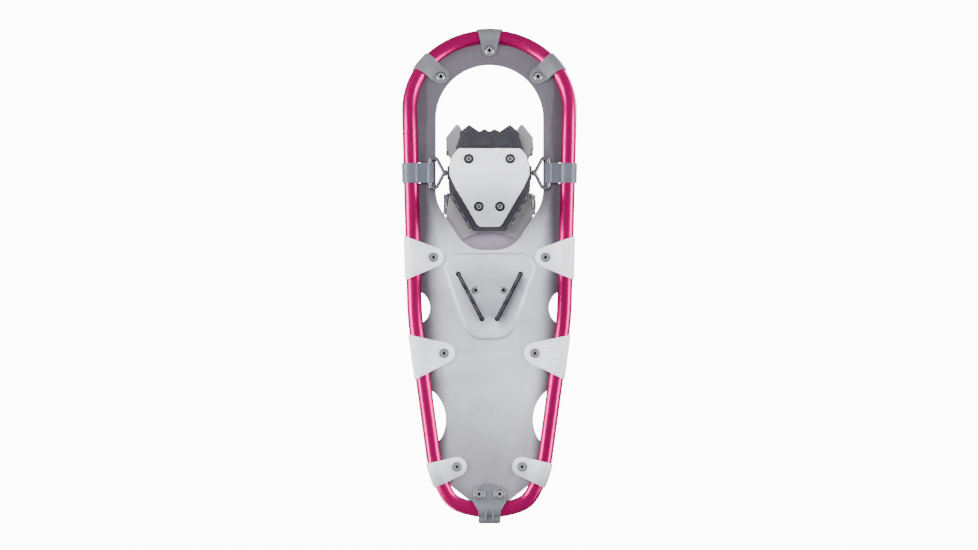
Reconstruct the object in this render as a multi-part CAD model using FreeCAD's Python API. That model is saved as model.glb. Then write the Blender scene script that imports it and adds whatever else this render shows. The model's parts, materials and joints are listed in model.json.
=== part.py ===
import FreeCAD, Part
import os
from math import acos, atan2, asin, cos, degrees, hypot, radians, sin, tan

V = FreeCAD.Vector
X_AXIS, Y_AXIS, Z_AXIS = V(1, 0, 0), V(0, 1, 0), V(0, 0, 1)

# The snowshoe stands on its crampon teeth: +Z is up, +Y points to the toe and the
# origin is below the middle of the shoe, at the height of the tooth tips.

# ---- driving dimensions, millimetres and degrees ----
TUBE_R = 9.5              # 3/4 inch frame tube
TUBE_WALL = 1.2
TUBE_Z = 38.0             # height of the tube's centre line along the flat of the shoe
TAIL_Y = -300.0           # tube centre line at the middle of the tail
TOE_Y = 305.7             # tube centre line at the middle of the toe
TAIL_ARCS = [(110.0, 20.0), (32.0, 40.0), (140.0, 22.3)]   # radius and turn
WAIST_Y = -75.0           # where the tapered run meets the long waist bend
WAIST_R = 400.0
TAPER_DEG = 7.7           # heading of the rear run
SIDE_DEG = 1.5            # heading of the front run
TOE_RISE_DEG = 25.0       # slope of the upturned toe
TOE_BEND_R = 150.0
SPLICE_LENGTH_DEG = 14.0

DECK_T = 1.2
DECK_GAP = 0.3            # deck edge to tube
NOTCH_GAP = 0.35          # deck notch to the sides of a hinge strap
CUT_H = 200.0             # tall enough for any vertical cutter

CLIP_T = 1.6
CLIP_GAP = 0.15           # clip to tube
CLIP_FLAT_MIN = 12.8      # nearest to the tube's centre that a leg can lie flat
RIVET_FLANGE_R = 6.2
RIVET_SHANK_R = 2.4
RIVET_BORE_R = 1.9
RIVET_HEAD_H = 1.2

PIVOT_Y = 131.0
PIVOT_Z = TUBE_Z - 5.5
WEB_T = 2.0               # webbing thickness
WEB_W = 25.4
RING_WIRE_R = 2.4
RING_X = 75.5             # straight side of the ring
RING_HALF = 18.0          # its half length, before rounding
RING_ARM = (68.0, 19.8)   # x and half length where the arms turn inward
RING_TIP_X = 58.0
STEM_R = 2.6
SHOULDER_R = 4.0
STEM_HEAD_R = 5.2
EAR_X = 51.5              # inner face of the crampon's ear
STEEL_T = 2.5
RUN_GAP = 0.08            # radial running clearance

PLATE_Z = PIVOT_Z - 8.5   # underside of the toe crampon's base plate
ICE_T = 3.0
RISER_H = 12.5
HARNESS_T = 3.0
FOOTBED_T = 4.0
BOLT_R = 3.0
BOLT_HEAD_R = 4.3
BOLT_WASHER_T = 0.8
BOLT_PLACES = [(26.5, 149.0), (-26.5, 149.0), (13.5, 88.0), (-13.5, 88.0)]
TOOTH_TIP_Z = 0.0

HEEL_RIVET_X, HEEL_RIVET_Y = 18.0, -18.8
HEEL_BLADE = ((39.7, 1.8), (9.7, -55.6))
HEEL_T = 2.0
EMBOSS = 3.0              # depth of the dished heel triangle
HEEL_PAD_HOLLOW = 3.0     # room below the heel pad for rivet heads
DISH_SLOPE = 4.0          # width of its sloping sides

WALL_TILT = 8.0           # outward lean of the harness walls
WALL_X = 45.5             # inner face of a wall at its foot
STRAP_T = 2.0

RISER_Z = PLATE_Z + STEEL_T
HARNESS_Z = RISER_Z + RISER_H
FOOTBED_Z = HARNESS_Z + HARNESS_T
SOLE_Z = FOOTBED_Z + FOOTBED_T
DECK_TOP = TUBE_Z + DECK_T / 2
DECK_LOW = TUBE_Z - DECK_T / 2

parts = {}


# ---- helpers ----
def mirrored(shape):
    return shape.mirror(V(0, 0, 0), X_AXIS)


def pair(name, shape):
    """The +X piece and its mirror image."""
    parts[name + "_right"] = shape
    parts[name + "_left"] = mirrored(shape)


def box(x0, x1, y0, y1, z0, z1):
    return Part.makeBox(x1 - x0, y1 - y0, z1 - z0, V(x0, y0, z0))


def rounded_wire(points):
    """Closed wire in the XY plane through (x, y, corner radius) points."""
    corners = [V(x, y, 0) for x, y, r in points]
    starts, ends, mids = [], [], []
    for i, (x, y, r) in enumerate(points):
        here, before, after = corners[i], corners[i - 1], corners[(i + 1) % len(corners)]
        back = (before - here).normalize()
        ahead = (after - here).normalize()
        half = back.getAngle(ahead) / 2
        if r == 0:
            starts.append(here)
            ends.append(here)
            mids.append(None)
            continue
        setback = r / tan(half)
        middle = (back + ahead).normalize()
        starts.append(here + back * setback)
        ends.append(here + ahead * setback)
        mids.append(here + middle * (r / sin(half) - r))
    edges = []
    for i in range(len(points)):
        if mids[i] is not None:
            edges.append(Part.Arc(starts[i], mids[i], ends[i]).toShape())
        following = starts[(i + 1) % len(points)]
        if ends[i].distanceToPoint(following) > 1e-6:
            edges.append(Part.LineSegment(ends[i], following).toShape())
    return Part.Wire(edges)


def prism(points, z0, z1):
    face = Part.Face(rounded_wire(points))
    face.translate(V(0, 0, z0))
    return face.extrude(V(0, 0, z1 - z0))


def symmetric(half):
    """Complete an outline from its x >= 0 half, listed from toe to tail."""
    other = [(-x, y, r) for x, y, r in reversed(half) if x > 0]
    return half + other


def placed(shape, origin, ex, ey):
    """Move a shape built at the origin so that its x, y and z follow ex, ey and ex x ey."""
    ez = ex.cross(ey)
    matrix = FreeCAD.Matrix(ex.x, ey.x, ez.x, origin.x, ex.y, ey.y, ez.y, origin.y,
                            ex.z, ey.z, ez.z, origin.z, 0, 0, 0, 1)
    moved = shape.copy()
    moved.Placement = FreeCAD.Placement(matrix).multiply(shape.Placement)
    return moved


# ---- the frame tube's path: straight runs and tangent arcs ----
class Pen:
    """Draws tangent lines and arcs in space; side is the unit vector towards the arc's centre."""

    def __init__(self, point, heading):
        self.point = point
        self.heading = heading
        self.edges = []

    def line(self, length):
        end = self.point + self.heading * length
        self.edges.append(Part.LineSegment(self.point, end).toShape())
        self.point = end

    def arc(self, side, radius, turn):
        centre = self.point + side * radius
        start_heading = self.heading

        def at(angle):
            return centre + start_heading * (radius * sin(angle)) - side * (radius * cos(angle))

        angle = radians(turn)
        self.edges.append(Part.Arc(self.point, at(angle / 2), at(angle)).toShape())
        self.point = at(angle)
        self.heading = start_heading * cos(angle) + side * sin(angle)


def level_left(heading):
    """Unit vector to the left of a level heading."""
    return V(-heading.y, heading.x, 0)


def half_path():
    pen = Pen(V(0, TAIL_Y, TUBE_Z), V(1, 0, 0))
    for radius, turn in TAIL_ARCS:
        pen.arc(level_left(pen.heading), radius, turn)
    pen.line((WAIST_Y - pen.point.y) / cos(radians(TAPER_DEG)))
    pen.arc(level_left(pen.heading), WAIST_R, TAPER_DEG - SIDE_DEG)
    slope = radians(TOE_RISE_DEG)
    lean = asin(sin(radians(SIDE_DEG)) * cos(slope))
    # the toe arc must end on the centre line at TOE_Y, so the bend starts this far back
    reach = TOE_BEND_R * sin(slope)
    run_ratio = tan(radians(SIDE_DEG))
    arc_ratio = (1 + sin(lean)) / cos(lean) * cos(slope)
    bend_y = (TOE_Y - reach - arc_ratio * (pen.point.x + run_ratio * (reach - pen.point.y)))
    bend_y = bend_y / (1 + arc_ratio * run_ratio)
    pen.line((bend_y - pen.point.y) / cos(radians(SIDE_DEG)))
    side_end = V(pen.point)
    pen.arc(Z_AXIS, TOE_BEND_R, TOE_RISE_DEG)
    side = (X_AXIS * -1 + pen.heading * pen.heading.x).normalize()
    toe_r = pen.point.x / cos(lean)
    toe_centre = pen.point + side * toe_r
    pen.arc(side, toe_r, 90 + degrees(lean))
    return pen, side_end, toe_centre, toe_r


PATH, BEND_START, TOE_CENTRE, TOE_R = half_path()
TOE_U = V(0, cos(radians(TOE_RISE_DEG)), sin(radians(TOE_RISE_DEG)))
TOE_UP = V(0, -sin(radians(TOE_RISE_DEG)), cos(radians(TOE_RISE_DEG)))


def pipe(radius):
    start = Part.Wire(Part.makeCircle(radius, V(0, TAIL_Y, TUBE_Z), X_AXIS))
    half = Part.Wire(PATH.edges).makePipeShell([start], True, True)
    return half.fuse(mirrored(half)).removeSplitter()


def make_frame():
    tube = pipe(TUBE_R).cut(pipe(TUBE_R - TUBE_WALL))
    seam = box(-0.25, 0.25, TAIL_Y - 20, TAIL_Y + 20, TUBE_Z - 20, TUBE_Z + 20)
    parts["frame_tube"] = tube.cut(seam)
    radius = TAIL_ARCS[0][0]
    plug_circle = Part.makeCircle(TUBE_R - TUBE_WALL, V(0, TAIL_Y, TUBE_Z), X_AXIS)
    plug_face = Part.Face(Part.Wire(plug_circle))
    pivot = V(0, TAIL_Y + radius, TUBE_Z)
    plug = plug_face.revolve(pivot, Z_AXIS, SPLICE_LENGTH_DEG)
    parts["frame_splice"] = plug.fuse(mirrored(plug)).removeSplitter()


# ---- the deck ----
TOE_HOLE = symmetric([
    (0, 269.5, 0), (68.5, 269.5, 68.4), (68.5, 94, 50), (28.5, 32.5, 38), (0, 32.5, 0)])
HEEL_TRIANGLE = [(50, 27.5, 14), (58, 10, 12), (26, -81, 26)]
TAIL_CORNER = [(80, -262, 0), (52, -265.5, 0), (21.6, -289.5, 0), (21.6, -310, 0), (80, -310, 0)]
FRONT_SCALLOP = (86.0, -41.5, 19.5, 10.0, 0.0)          # x, y, half length, depth, slant
REAR_SCALLOP = (69.0, -179.5, 33.0, 13.0, TAPER_DEG)


def heel_triangle(inset):
    """Rounded triangle under the heel, shrunk by inset."""
    (x0, y0, r0), (x1, y1, r1), (x2, y2, r2) = HEEL_TRIANGLE
    return symmetric([
        (0, y0 - inset, 0), (x0 - inset, y0 - inset, r0 - inset), (x1 - inset, y1, r1 - inset),
        (x2 - inset, y2 + inset, r2 - inset), (0, y2 + inset, 0)])


def deck_sheet():
    """Level sheet that follows the toe's bend, wide enough to reach past the frame."""
    y0, y1, half = TAIL_Y - 15, BEND_START.y, DECK_T / 2
    slope = radians(TOE_RISE_DEG)
    run = 130.0

    def side(offset):
        radius = TOE_BEND_R - offset
        centre = V(0, y1, TUBE_Z + TOE_BEND_R)
        low = V(0, y1, TUBE_Z + offset)
        middle = centre + V(0, sin(slope / 2), -cos(slope / 2)) * radius
        high = centre + V(0, sin(slope), -cos(slope)) * radius
        return low, middle, high, high + TOE_U * run

    lower, upper = side(-half), side(half)
    tail_low, tail_high = V(0, y0, TUBE_Z - half), V(0, y0, TUBE_Z + half)
    edges = [
        Part.LineSegment(tail_low, lower[0]).toShape(),
        Part.Arc(lower[0], lower[1], lower[2]).toShape(),
        Part.LineSegment(lower[2], lower[3]).toShape(),
        Part.LineSegment(lower[3], upper[3]).toShape(),
        Part.LineSegment(upper[3], upper[2]).toShape(),
        Part.Arc(upper[2], upper[1], upper[0]).toShape(),
        Part.LineSegment(upper[0], tail_high).toShape(),
        Part.LineSegment(tail_high, tail_low).toShape()]
    sheet = Part.Face(Part.Wire(edges)).extrude(X_AXIS * 260)
    sheet.translate(V(-130, 0, 0))
    return sheet


def piece_at(shape, point):
    """The solid of a compound that lies nearest to a point."""
    probe = Part.Vertex(point)
    return min(shape.Solids, key=lambda solid: solid.distToShape(probe)[0])


def heel_slot(width, z0, z1):
    """Slot with round ends along the right-hand heel blade."""
    (x0, y0), (x1, y1) = HEEL_BLADE
    length = hypot(x1 - x0, y1 - y0)
    along = V((x1 - x0) / length, (y1 - y0) / length, 0)
    bar = box(0, length, -width / 2, width / 2, 0, z1 - z0)
    for end in (0, length):
        bar = bar.fuse(Part.makeCylinder(3.4, z1 - z0, V(end, 0, 0)))
    return placed(bar, V(x0, y0, z0), along, Z_AXIS.cross(along))


def dish(inset, z_top, z_low):
    """Heel triangle with sloping sides, from its rim down to its floor."""
    wires = []
    for z, extra in ((z_top, -DISH_SLOPE / 2), (z_low, DISH_SLOPE / 2)):
        wire = rounded_wire(heel_triangle(inset + extra))
        wire.translate(V(0, 0, z))
        wires.append(wire)
    return Part.makeLoft(wires, True, True)


def make_deck():
    deck = piece_at(deck_sheet().cut(pipe(TUBE_R + DECK_GAP)), V(0, -150, TUBE_Z))
    deck = deck.cut(prism(TOE_HOLE, -10, CUT_H))
    deck = deck.fuse(dish(0, DECK_LOW, DECK_LOW - EMBOSS)).removeSplitter()
    deck = deck.cut(dish(DECK_T, DECK_TOP, DECK_TOP - EMBOSS))
    # scallops beside the frame, the tail corners and the clearance for the hinge straps
    for side in (1, -1):
        def flip(points):
            return [(x * side, y, r) for x, y, r in points]
        deck = deck.cut(scallop(side, *FRONT_SCALLOP))
        deck = deck.cut(scallop(side, *REAR_SCALLOP))
        deck = deck.cut(prism(flip(TAIL_CORNER), -10, CUT_H))
        notch_x = side * (tube_x(PIVOT_Y) - TUBE_R)
        notch_ends = sorted((notch_x - side * 2.8, notch_x + side * 5))
        notch_half = WEB_W / 2 + NOTCH_GAP
        notch = box(*notch_ends, PIVOT_Y - notch_half, PIVOT_Y + notch_half, 0, CUT_H)
        deck = deck.cut(notch)
        slot = heel_slot(5.0, 0, CUT_H)
        deck = deck.cut(slot if side > 0 else mirrored(slot))
        place = V(side * HEEL_RIVET_X, HEEL_RIVET_Y, 0)
        deck = deck.cut(Part.makeCylinder(RIVET_SHANK_R, CUT_H, place))
    parts["deck"] = deck


def tube_x(y):
    """Tube centre line's x on the front run, which leans out by SIDE_DEG."""
    return BEND_START.x - (BEND_START.y - y) * tan(radians(SIDE_DEG))


def scallop(side, x, y, half_length, depth, taper):
    """Bowl-shaped bite out of the deck's edge: an arc of the given chord, depth and slant."""
    radius = (half_length ** 2 + depth ** 2) / (2 * depth)
    out = radius - depth
    cx = x + out * cos(radians(taper))
    cy = y - out * sin(radians(taper))
    return Part.makeCylinder(radius, CUT_H, V(side * cx, cy, 0))


# ---- clips round the tube, their rivets and the tail bracket ----
class Station:
    """A place on the tube: point, unit vector inward along the deck, and unit vector up."""

    def __init__(self, point, inward, up):
        self.point = point
        self.inward = inward
        self.up = up
        self.along = up.cross(inward) * -1

    def at(self, a, b, c=0.0):
        return self.point + self.inward * a + self.up * b + self.along * c

    def local(self, shape):
        """Place a shape whose x runs inward and whose z runs up."""
        return placed(shape, self.point, self.inward, self.up.cross(self.inward))


def contour(station, radius, half_gap, flat_from, reach):
    """Closed face: round the tube's outer side, then two lines closing on the deck."""
    away = hypot(flat_from, half_gap)
    touch = atan2(half_gap, flat_from) + acos(radius / away)
    ta, tb = radius * cos(touch), radius * sin(touch)
    upper = [station.at(reach, half_gap), station.at(flat_from, half_gap), station.at(ta, tb)]
    lower = [station.at(ta, -tb), station.at(flat_from, -half_gap), station.at(reach, -half_gap)]
    edges = [Part.LineSegment(upper[0], upper[1]).toShape(),
             Part.LineSegment(upper[1], upper[2]).toShape(),
             Part.Arc(upper[2], station.at(-radius, 0), lower[0]).toShape(),
             Part.LineSegment(lower[0], lower[1]).toShape(),
             Part.LineSegment(lower[1], lower[2]).toShape(),
             Part.LineSegment(lower[2], upper[0]).toShape()]
    return Part.Face(Part.Wire(edges))


def clip_section(station, thickness, flat_from, reach):
    outer = contour(station, TUBE_R + CLIP_GAP + thickness, DECK_T / 2 + thickness, flat_from, reach)
    inner = contour(station, TUBE_R + CLIP_GAP, DECK_T / 2, flat_from, reach + 1)
    return outer.cut(inner).Faces[0]


def tab(rivet_a, tip_r, outer_a, low, high):
    """Outline of a clip in its own plane: two outer corners joined to a round tip by tangents."""
    def tangent(corner, sign):
        dx, dy = corner[0] - rivet_a, corner[1]
        gap = hypot(dx, dy)
        angle = atan2(dy, dx) + sign * acos(tip_r / gap)
        return V(rivet_a + tip_r * cos(angle), tip_r * sin(angle), 0)
    c_low, c_high = (outer_a, low), (outer_a, high)
    t_low, t_high = tangent(c_low, 1), tangent(c_high, -1)
    edges = [Part.LineSegment(V(c_high[0], c_high[1], 0), V(c_low[0], c_low[1], 0)).toShape(),
             Part.LineSegment(V(c_low[0], c_low[1], 0), t_low).toShape(),
             Part.Arc(t_low, V(rivet_a + tip_r, 0, 0), t_high).toShape(),
             Part.LineSegment(t_high, V(c_high[0], c_high[1], 0)).toShape()]
    return Part.Face(Part.Wire(edges))


def rivet(station, rivet_a, half_grip):
    """Tubular rivet: rolled flange below, blind bore, low head above."""
    body = Part.makeCylinder(RIVET_SHANK_R, 2 * half_grip + 2 * RIVET_HEAD_H,
                             V(rivet_a, 0, -half_grip - RIVET_HEAD_H))
    flange = Part.makeCone(RIVET_FLANGE_R - 1.0, RIVET_FLANGE_R, RIVET_HEAD_H,
                           V(rivet_a, 0, -half_grip - RIVET_HEAD_H))
    head = Part.makeCone(RIVET_FLANGE_R - 0.5, RIVET_FLANGE_R - 2.0, RIVET_HEAD_H,
                         V(rivet_a, 0, half_grip))
    bore = Part.makeCylinder(RIVET_BORE_R, 2 * half_grip + 1.4,
                             V(rivet_a, 0, -half_grip - RIVET_HEAD_H))
    return station.local(body.fuse([flange, head]).cut(bore).removeSplitter())


def rivet_hole(station, rivet_a):
    return station.local(Part.makeCylinder(RIVET_SHANK_R, 40, V(rivet_a, 0, -20)))


def clip(station, rivet_a, tip_r, low, high, sweep):
    """Band round the tube with two legs on the deck, trimmed to its tapered outline."""
    flat_from = max(rivet_a - 8, CLIP_FLAT_MIN)
    section = clip_section(station, CLIP_T, flat_from, rivet_a + tip_r + 2)
    outline = tab(rivet_a, tip_r, -TUBE_R - CLIP_T - 1, low, high).extrude(V(0, 0, 60))
    outline.translate(V(0, 0, -30))
    band = sweep(section).common(station.local(outline))
    return band.cut(rivet_hole(station, rivet_a))


def straight_sweep(station, half_length):
    def sweep(section):
        start = section.copy()
        start.translate(station.along * -half_length)
        return start.extrude(station.along * (2 * half_length))
    return sweep


def round_sweep(centre, axis, half_turn):
    def sweep(section):
        start = section.copy()
        start.rotate(centre, axis, -half_turn)
        return start.revolve(centre, axis, 2 * half_turn)
    return sweep


def heading_station(point, heading_deg):
    """Station on the right-hand side of the level frame."""
    angle = radians(heading_deg)
    return Station(point, V(-cos(angle), sin(angle), 0), Z_AXIS)


def toe_station(turn_deg):
    """Station on the toe arc, turn_deg from the right-hand side towards the toe's middle."""
    angle = radians(turn_deg)
    out = X_AXIS * cos(angle) + TOE_U * sin(angle)
    return Station(TOE_CENTRE + out * TOE_R, out * -1, TOE_UP)


WAIST_POINT = PATH.edges[3].Vertexes[-1].Point
TAIL_SIDE_START = PATH.edges[2].Vertexes[0].Point

CLIP_HALF = DECK_T / 2 + CLIP_T


def taper_x(y):
    """Tube centre line's x on the rear run."""
    return WAIST_POINT.x - (WAIST_POINT.y - y) * tan(radians(TAPER_DEG))


def make_clips():
    mid = heading_station(V(tube_x(22.5), 22.5, TUBE_Z), SIDE_DEG)
    mid_a = 26.0
    pair("mid_clip", clip(mid, mid_a, 13.0, -29.0, 28.5, straight_sweep(mid, 32)))
    rear = heading_station(V(taper_x(-103.5), -103.5, TUBE_Z), TAPER_DEG)
    rear_a = 31.0
    pair("rear_clip", clip(rear, rear_a, 13.5, -30.0, 29.0, straight_sweep(rear, 34)))

    radius = TAIL_ARCS[2][0]
    start_heading = 90 - TAIL_ARCS[0][1] - TAIL_ARCS[1][1]
    left = V(-cos(radians(start_heading)), sin(radians(start_heading)), 0)
    centre = TAIL_SIDE_START + left * radius
    heading = start_heading - 12.0
    out = V(cos(radians(heading)), -sin(radians(heading)), 0)
    tail = heading_station(centre + out * radius, heading)
    tail_a = 26.0
    pair("tail_clip", clip(tail, tail_a, 12.5, -16.0, 17.0, round_sweep(centre, Z_AXIS, 10)))

    toe_side = toe_station(36.5)
    toe_a = 25.0
    toe_sweep = round_sweep(TOE_CENTRE, TOE_UP, 12)
    pair("toe_side_clip", clip(toe_side, toe_a, 11.0, -13.5, 13.5, toe_sweep))
    toe_mid = toe_station(90)
    toe_mid_a = 19.0
    parts["toe_center_clip"] = clip(toe_mid, toe_mid_a, 9.0, -17.0, 17.0, toe_sweep)

    side_places = [(mid, mid_a), (rear, rear_a)]
    toe_places = [(toe_side, toe_a)]
    tail_places = [(tail, tail_a)]
    for name, places in (("side_clip_rivets", side_places), ("tail_clip_rivets", tail_places),
                         ("toe_clip_rivets", toe_places)):
        solids = []
        for station, a in places:
            right = rivet(station, a, CLIP_HALF)
            solids += [right, mirrored(right)]
            hole = rivet_hole(station, a)
            parts["deck"] = parts["deck"].cut([hole, mirrored(hole)])
        if name == "toe_clip_rivets":
            solids.append(rivet(toe_mid, toe_mid_a, CLIP_HALF))
            parts["deck"] = parts["deck"].cut(rivet_hole(toe_mid, toe_mid_a))
        parts[name] = Part.makeCompound(solids)
    for name in [n for n in parts if n.startswith("toe_") and "clip" in n and "rivets" not in n]:
        parts[name] = parts[name].cut(parts["deck"])


BRACKET_T = 3.0
BUMPER = 16.95            # tube centre to the bracket's outermost face
WASHER_R = 7.0
WASHER_T = 1.0
BRACKET_RIVET = (20.7, 13.0)


def make_tail_bracket():
    station = Station(V(0, TAIL_Y, TUBE_Z), Y_AXIS, Z_AXIS)
    radius = TAIL_ARCS[0][0]
    section = clip_section(station, BRACKET_T, 12.5, 40)
    band = round_sweep(V(0, TAIL_Y + radius, TUBE_Z), Z_AXIS, 14)(section)
    outline = symmetric([
        (0, TAIL_Y + 35, 0), (9, TAIL_Y + 33, 8), (23, TAIL_Y + 26, 5), (22, TAIL_Y + 12, 4),
        (14.2, TAIL_Y - 1, 6), (14.2, TAIL_Y - BUMPER, 3), (0, TAIL_Y - BUMPER, 0)])
    half_h = TUBE_R + CLIP_GAP + BRACKET_T
    outline_body = prism(outline, TUBE_Z - half_h, TUBE_Z + half_h)
    bumper = box(-20, 20, TAIL_Y - BUMPER, TAIL_Y - 4, TUBE_Z - 9, TUBE_Z + 9)
    rear_edges = [e for e in bumper.Edges
                  if abs(e.CenterOfMass.y - TAIL_Y + BUMPER) < 0.1 and abs(e.CenterOfMass.x) < 1]
    bumper = bumper.makeFillet(5, rear_edges)
    bumper = bumper.cut(pipe(TUBE_R + CLIP_GAP))
    ribs = [box(x - 1.3, x + 1.3, TAIL_Y - 14, TAIL_Y + 2, TUBE_Z - half_h - 1.2, TUBE_Z - 7)
            for x in (-4.7, 4.7)]
    body = band.fuse(bumper).common(outline_body).fuse(ribs)
    body = body.cut(pipe(TUBE_R + CLIP_GAP)).removeSplitter()
    half_grip = DECK_T / 2 + BRACKET_T
    rivets, washers = [], []
    for side in (1, -1):
        place = Station(V(side * BRACKET_RIVET[1], TAIL_Y, TUBE_Z), Y_AXIS, Z_AXIS)
        a = BRACKET_RIVET[0]
        hole = rivet_hole(place, a)
        body = body.cut(hole)
        parts["deck"] = parts["deck"].cut(hole)
        rivets.append(rivet(place, a, half_grip + WASHER_T))
        for b in (-half_grip - WASHER_T, half_grip):
            ring = Part.makeCylinder(WASHER_R, WASHER_T, V(a, 0, b))
            washers.append(place.local(ring.cut(Part.makeCylinder(RIVET_SHANK_R, 40, V(a, 0, -20)))))
    parts["tail_bracket"] = max(body.Solids, key=lambda solid: solid.Volume)
    parts["tail_rivets"] = Part.makeCompound(rivets)
    parts["tail_washers"] = Part.makeCompound(washers)


# ---- hinge straps and pivot rings ----
def rod(edges, radius):
    """Round wire along straight and circular edges."""
    solids = []
    for edge in edges:
        start = edge.valueAt(edge.FirstParameter)
        circle = Part.Wire(Part.makeCircle(radius, start, edge.tangentAt(edge.FirstParameter)))
        solids.append(Part.Wire([edge]).makePipeShell([circle], True, True))
    return solids[0].fuse(solids[1:]).removeSplitter()


def make_hinge():
    x_tube = tube_x(PIVOT_Y)
    low_y = PIVOT_Y - WEB_W / 2
    lean = V(sin(radians(SIDE_DEG)), cos(radians(SIDE_DEG)), 0)

    def bar(x, z, radius):
        start = V(x, PIVOT_Y, z) - lean * (WEB_W / 2)
        return Part.makeCylinder(radius, WEB_W, start, lean)

    loop = bar(x_tube, TUBE_Z, TUBE_R + CLIP_GAP + WEB_T)
    eye_r = RING_WIRE_R + 0.3
    slab = box(RING_X, x_tube - 4, low_y, low_y + WEB_W, PIVOT_Z - WEB_T, PIVOT_Z + WEB_T)
    eye = Part.makeCylinder(eye_r + WEB_T, WEB_W, V(RING_X, low_y, PIVOT_Z), Y_AXIS)
    strap = loop.fuse([slab, eye])
    strap = strap.cut(Part.makeCylinder(eye_r, WEB_W + 2, V(RING_X, low_y - 1, PIVOT_Z), Y_AXIS))
    strap = strap.cut(pipe(TUBE_R + CLIP_GAP))
    arm_x, arm_y = RING_ARM
    corners = [(arm_x, PIVOT_Y + arm_y, 5.0), (RING_X, PIVOT_Y + RING_HALF, 3.5),
               (RING_X, PIVOT_Y - RING_HALF, 3.5), (arm_x, PIVOT_Y - arm_y, 5.0),
               (RING_TIP_X, PIVOT_Y, 5.0)]
    wire = rounded_wire(corners)
    wire.translate(V(0, 0, PIVOT_Z))
    ring = rod(wire.Edges, RING_WIRE_R)
    tip = RING_TIP_X + 0.8
    stem_end = EAR_X - 5.0
    stem = Part.makeCylinder(STEM_R, tip - stem_end, V(stem_end, PIVOT_Y, PIVOT_Z), X_AXIS)
    shoulder = Part.makeCylinder(SHOULDER_R, 3.2, V(EAR_X + STEEL_T + 0.4, PIVOT_Y, PIVOT_Z), X_AXIS)
    ring = ring.fuse([stem, shoulder]).removeSplitter()
    pair("pivot_ring", ring)
    pair("hinge_strap", strap.cut(ring).removeSplitter())
    head = Part.makeCylinder(STEM_HEAD_R, 4.0, V(EAR_X - 4.4, PIVOT_Y, PIVOT_Z), X_AXIS)
    head = head.cut(Part.makeCylinder(STEM_R, 10, V(EAR_X - 8, PIVOT_Y, PIVOT_Z), X_AXIS))
    pair("pivot_stem_head", head)


# ---- toe crampon, ice plate, riser and bolts ----
REAR_CORNER = (52.0, 108.0)   # ends of the base plate's tapered side, which carries the rear claw
REAR_TAIL = (21.0, 56.4)
PLATE_OUTLINE = symmetric([
    (0, 163.5, 0), (40, 163.5, 5), (48, 152, 8), (52.5, 138, 8), (52.5, 124, 6),
    (*REAR_CORNER, 5), (*REAR_TAIL, 6), (0, REAR_TAIL[1], 0)])
ICE_OUTLINE = symmetric([
    (0, 162.5, 0), (39.5, 162.5, 6), (47.5, 152.5, 10), (51.0, 138, 12), (51.0, 128, 12),
    (43.5, 112, 14), (14.5, 62, 9), (0, 62, 0)])
RISER_OUTLINE = symmetric([
    (0, 158, 0), (34, 158, 6), (40, 146, 6), (40, 116, 8), (20, 80, 6), (0, 80, 0)])
RISER_WINDOW = symmetric([
    (0, 140, 0), (17, 140, 5), (27, 132, 5), (27, 118, 5), (12, 98, 5), (0, 98, 0)])
FRONT_FALL = 41.5         # slope of the front claw below level
REAR_FLARE = 6.0          # outward lean of the rear claws
REAR_TEETH = 4            # on each of them
REAR_TOOTH_H = 9.0
FRONT_ROOT_Y = 160.5      # where the front claw leaves the base plate
RIB_W = 3.2
RIB_H = 1.5
SEAT_R = 6.3              # counterbores of the ice plate
SEAT_DEPTH = 1.2


def toothed_blade(points, thickness, root, along, down):
    """Flat blade, thick on its inner face: points are (distance along the root, distance down)."""
    face = Part.Face(Part.makePolygon([V(u, v, 0) for u, v in points + points[:1]]))
    blade = face.extrude(V(0, 0, thickness))
    return placed(blade, root, along, down)


def front_claw():
    """Zigzag claw that slopes forward and down from the front of the base plate."""
    depth = (RISER_Z - TOOTH_TIP_Z) / sin(radians(FRONT_FALL))
    tip, small, valley, shoulder = depth, depth - 6.8, depth - 11.3, depth - 12.7
    half = [
        (0.0, valley), (6.5, small), (13.0, valley), (25.0, tip - 0.4), (26.0, tip), (27.0, tip - 0.4),
        (38.3, shoulder), (37.6, shoulder - 5), (42.5, 3.0), (42.5, 0.0)]
    outline = [(-u, v) for u, v in reversed(half[1:])] + half
    fall = radians(FRONT_FALL)
    down = V(0, cos(fall), -sin(fall))
    blade = toothed_blade(outline, STEEL_T, V(0, FRONT_ROOT_Y, RISER_Z), X_AXIS, down)
    # tapered stiffening ribs on the claw's underside
    proud = V(0, -sin(fall), -cos(fall)) * RIB_H
    ribs = []
    for x in (-26.5, 0.0, 26.5):
        root = V(x - RIB_W / 2, FRONT_ROOT_Y, RISER_Z)
        near, far = root + down * 5.4, root + down * 23.0
        rib = Part.Face(Part.makePolygon([near, far, near + proud, near]))
        ribs.append(rib.extrude(X_AXIS * RIB_W))
    return blade.fuse(ribs)


def rear_claw():
    """Toothed blade along the right-hand tapered side of the base plate."""
    corner, tail = V(*REAR_CORNER, RISER_Z), V(*REAR_TAIL, RISER_Z)
    along = (tail - corner).normalize()
    out = V(-along.y, along.x, 0)
    start = corner + along * 4 - out * STEEL_T
    length = corner.distanceToPoint(tail) - 8
    lean = radians(REAR_FLARE)
    down = out * sin(lean) - Z_AXIS * cos(lean)
    depth = (start.z - TOOTH_TIP_Z) / cos(lean)
    pitch = length / REAR_TEETH
    points = [(0.0, 0.0), (0.0, depth - REAR_TOOTH_H)]
    for i in range(REAR_TEETH):
        points += [(pitch * (i + 0.35), depth), (pitch * (i + 0.65), depth)]
        if i < REAR_TEETH - 1:
            points.append((pitch * (i + 1), depth - REAR_TOOTH_H))
    points += [(length, depth - REAR_TOOTH_H), (length, 0.0)]
    return toothed_blade(points, STEEL_T, start, along, down)


def bolt_holes(z0, z1, radius):
    return [Part.makeCylinder(radius, z1 - z0, V(x, y, z0)) for x, y in BOLT_PLACES]


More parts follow.
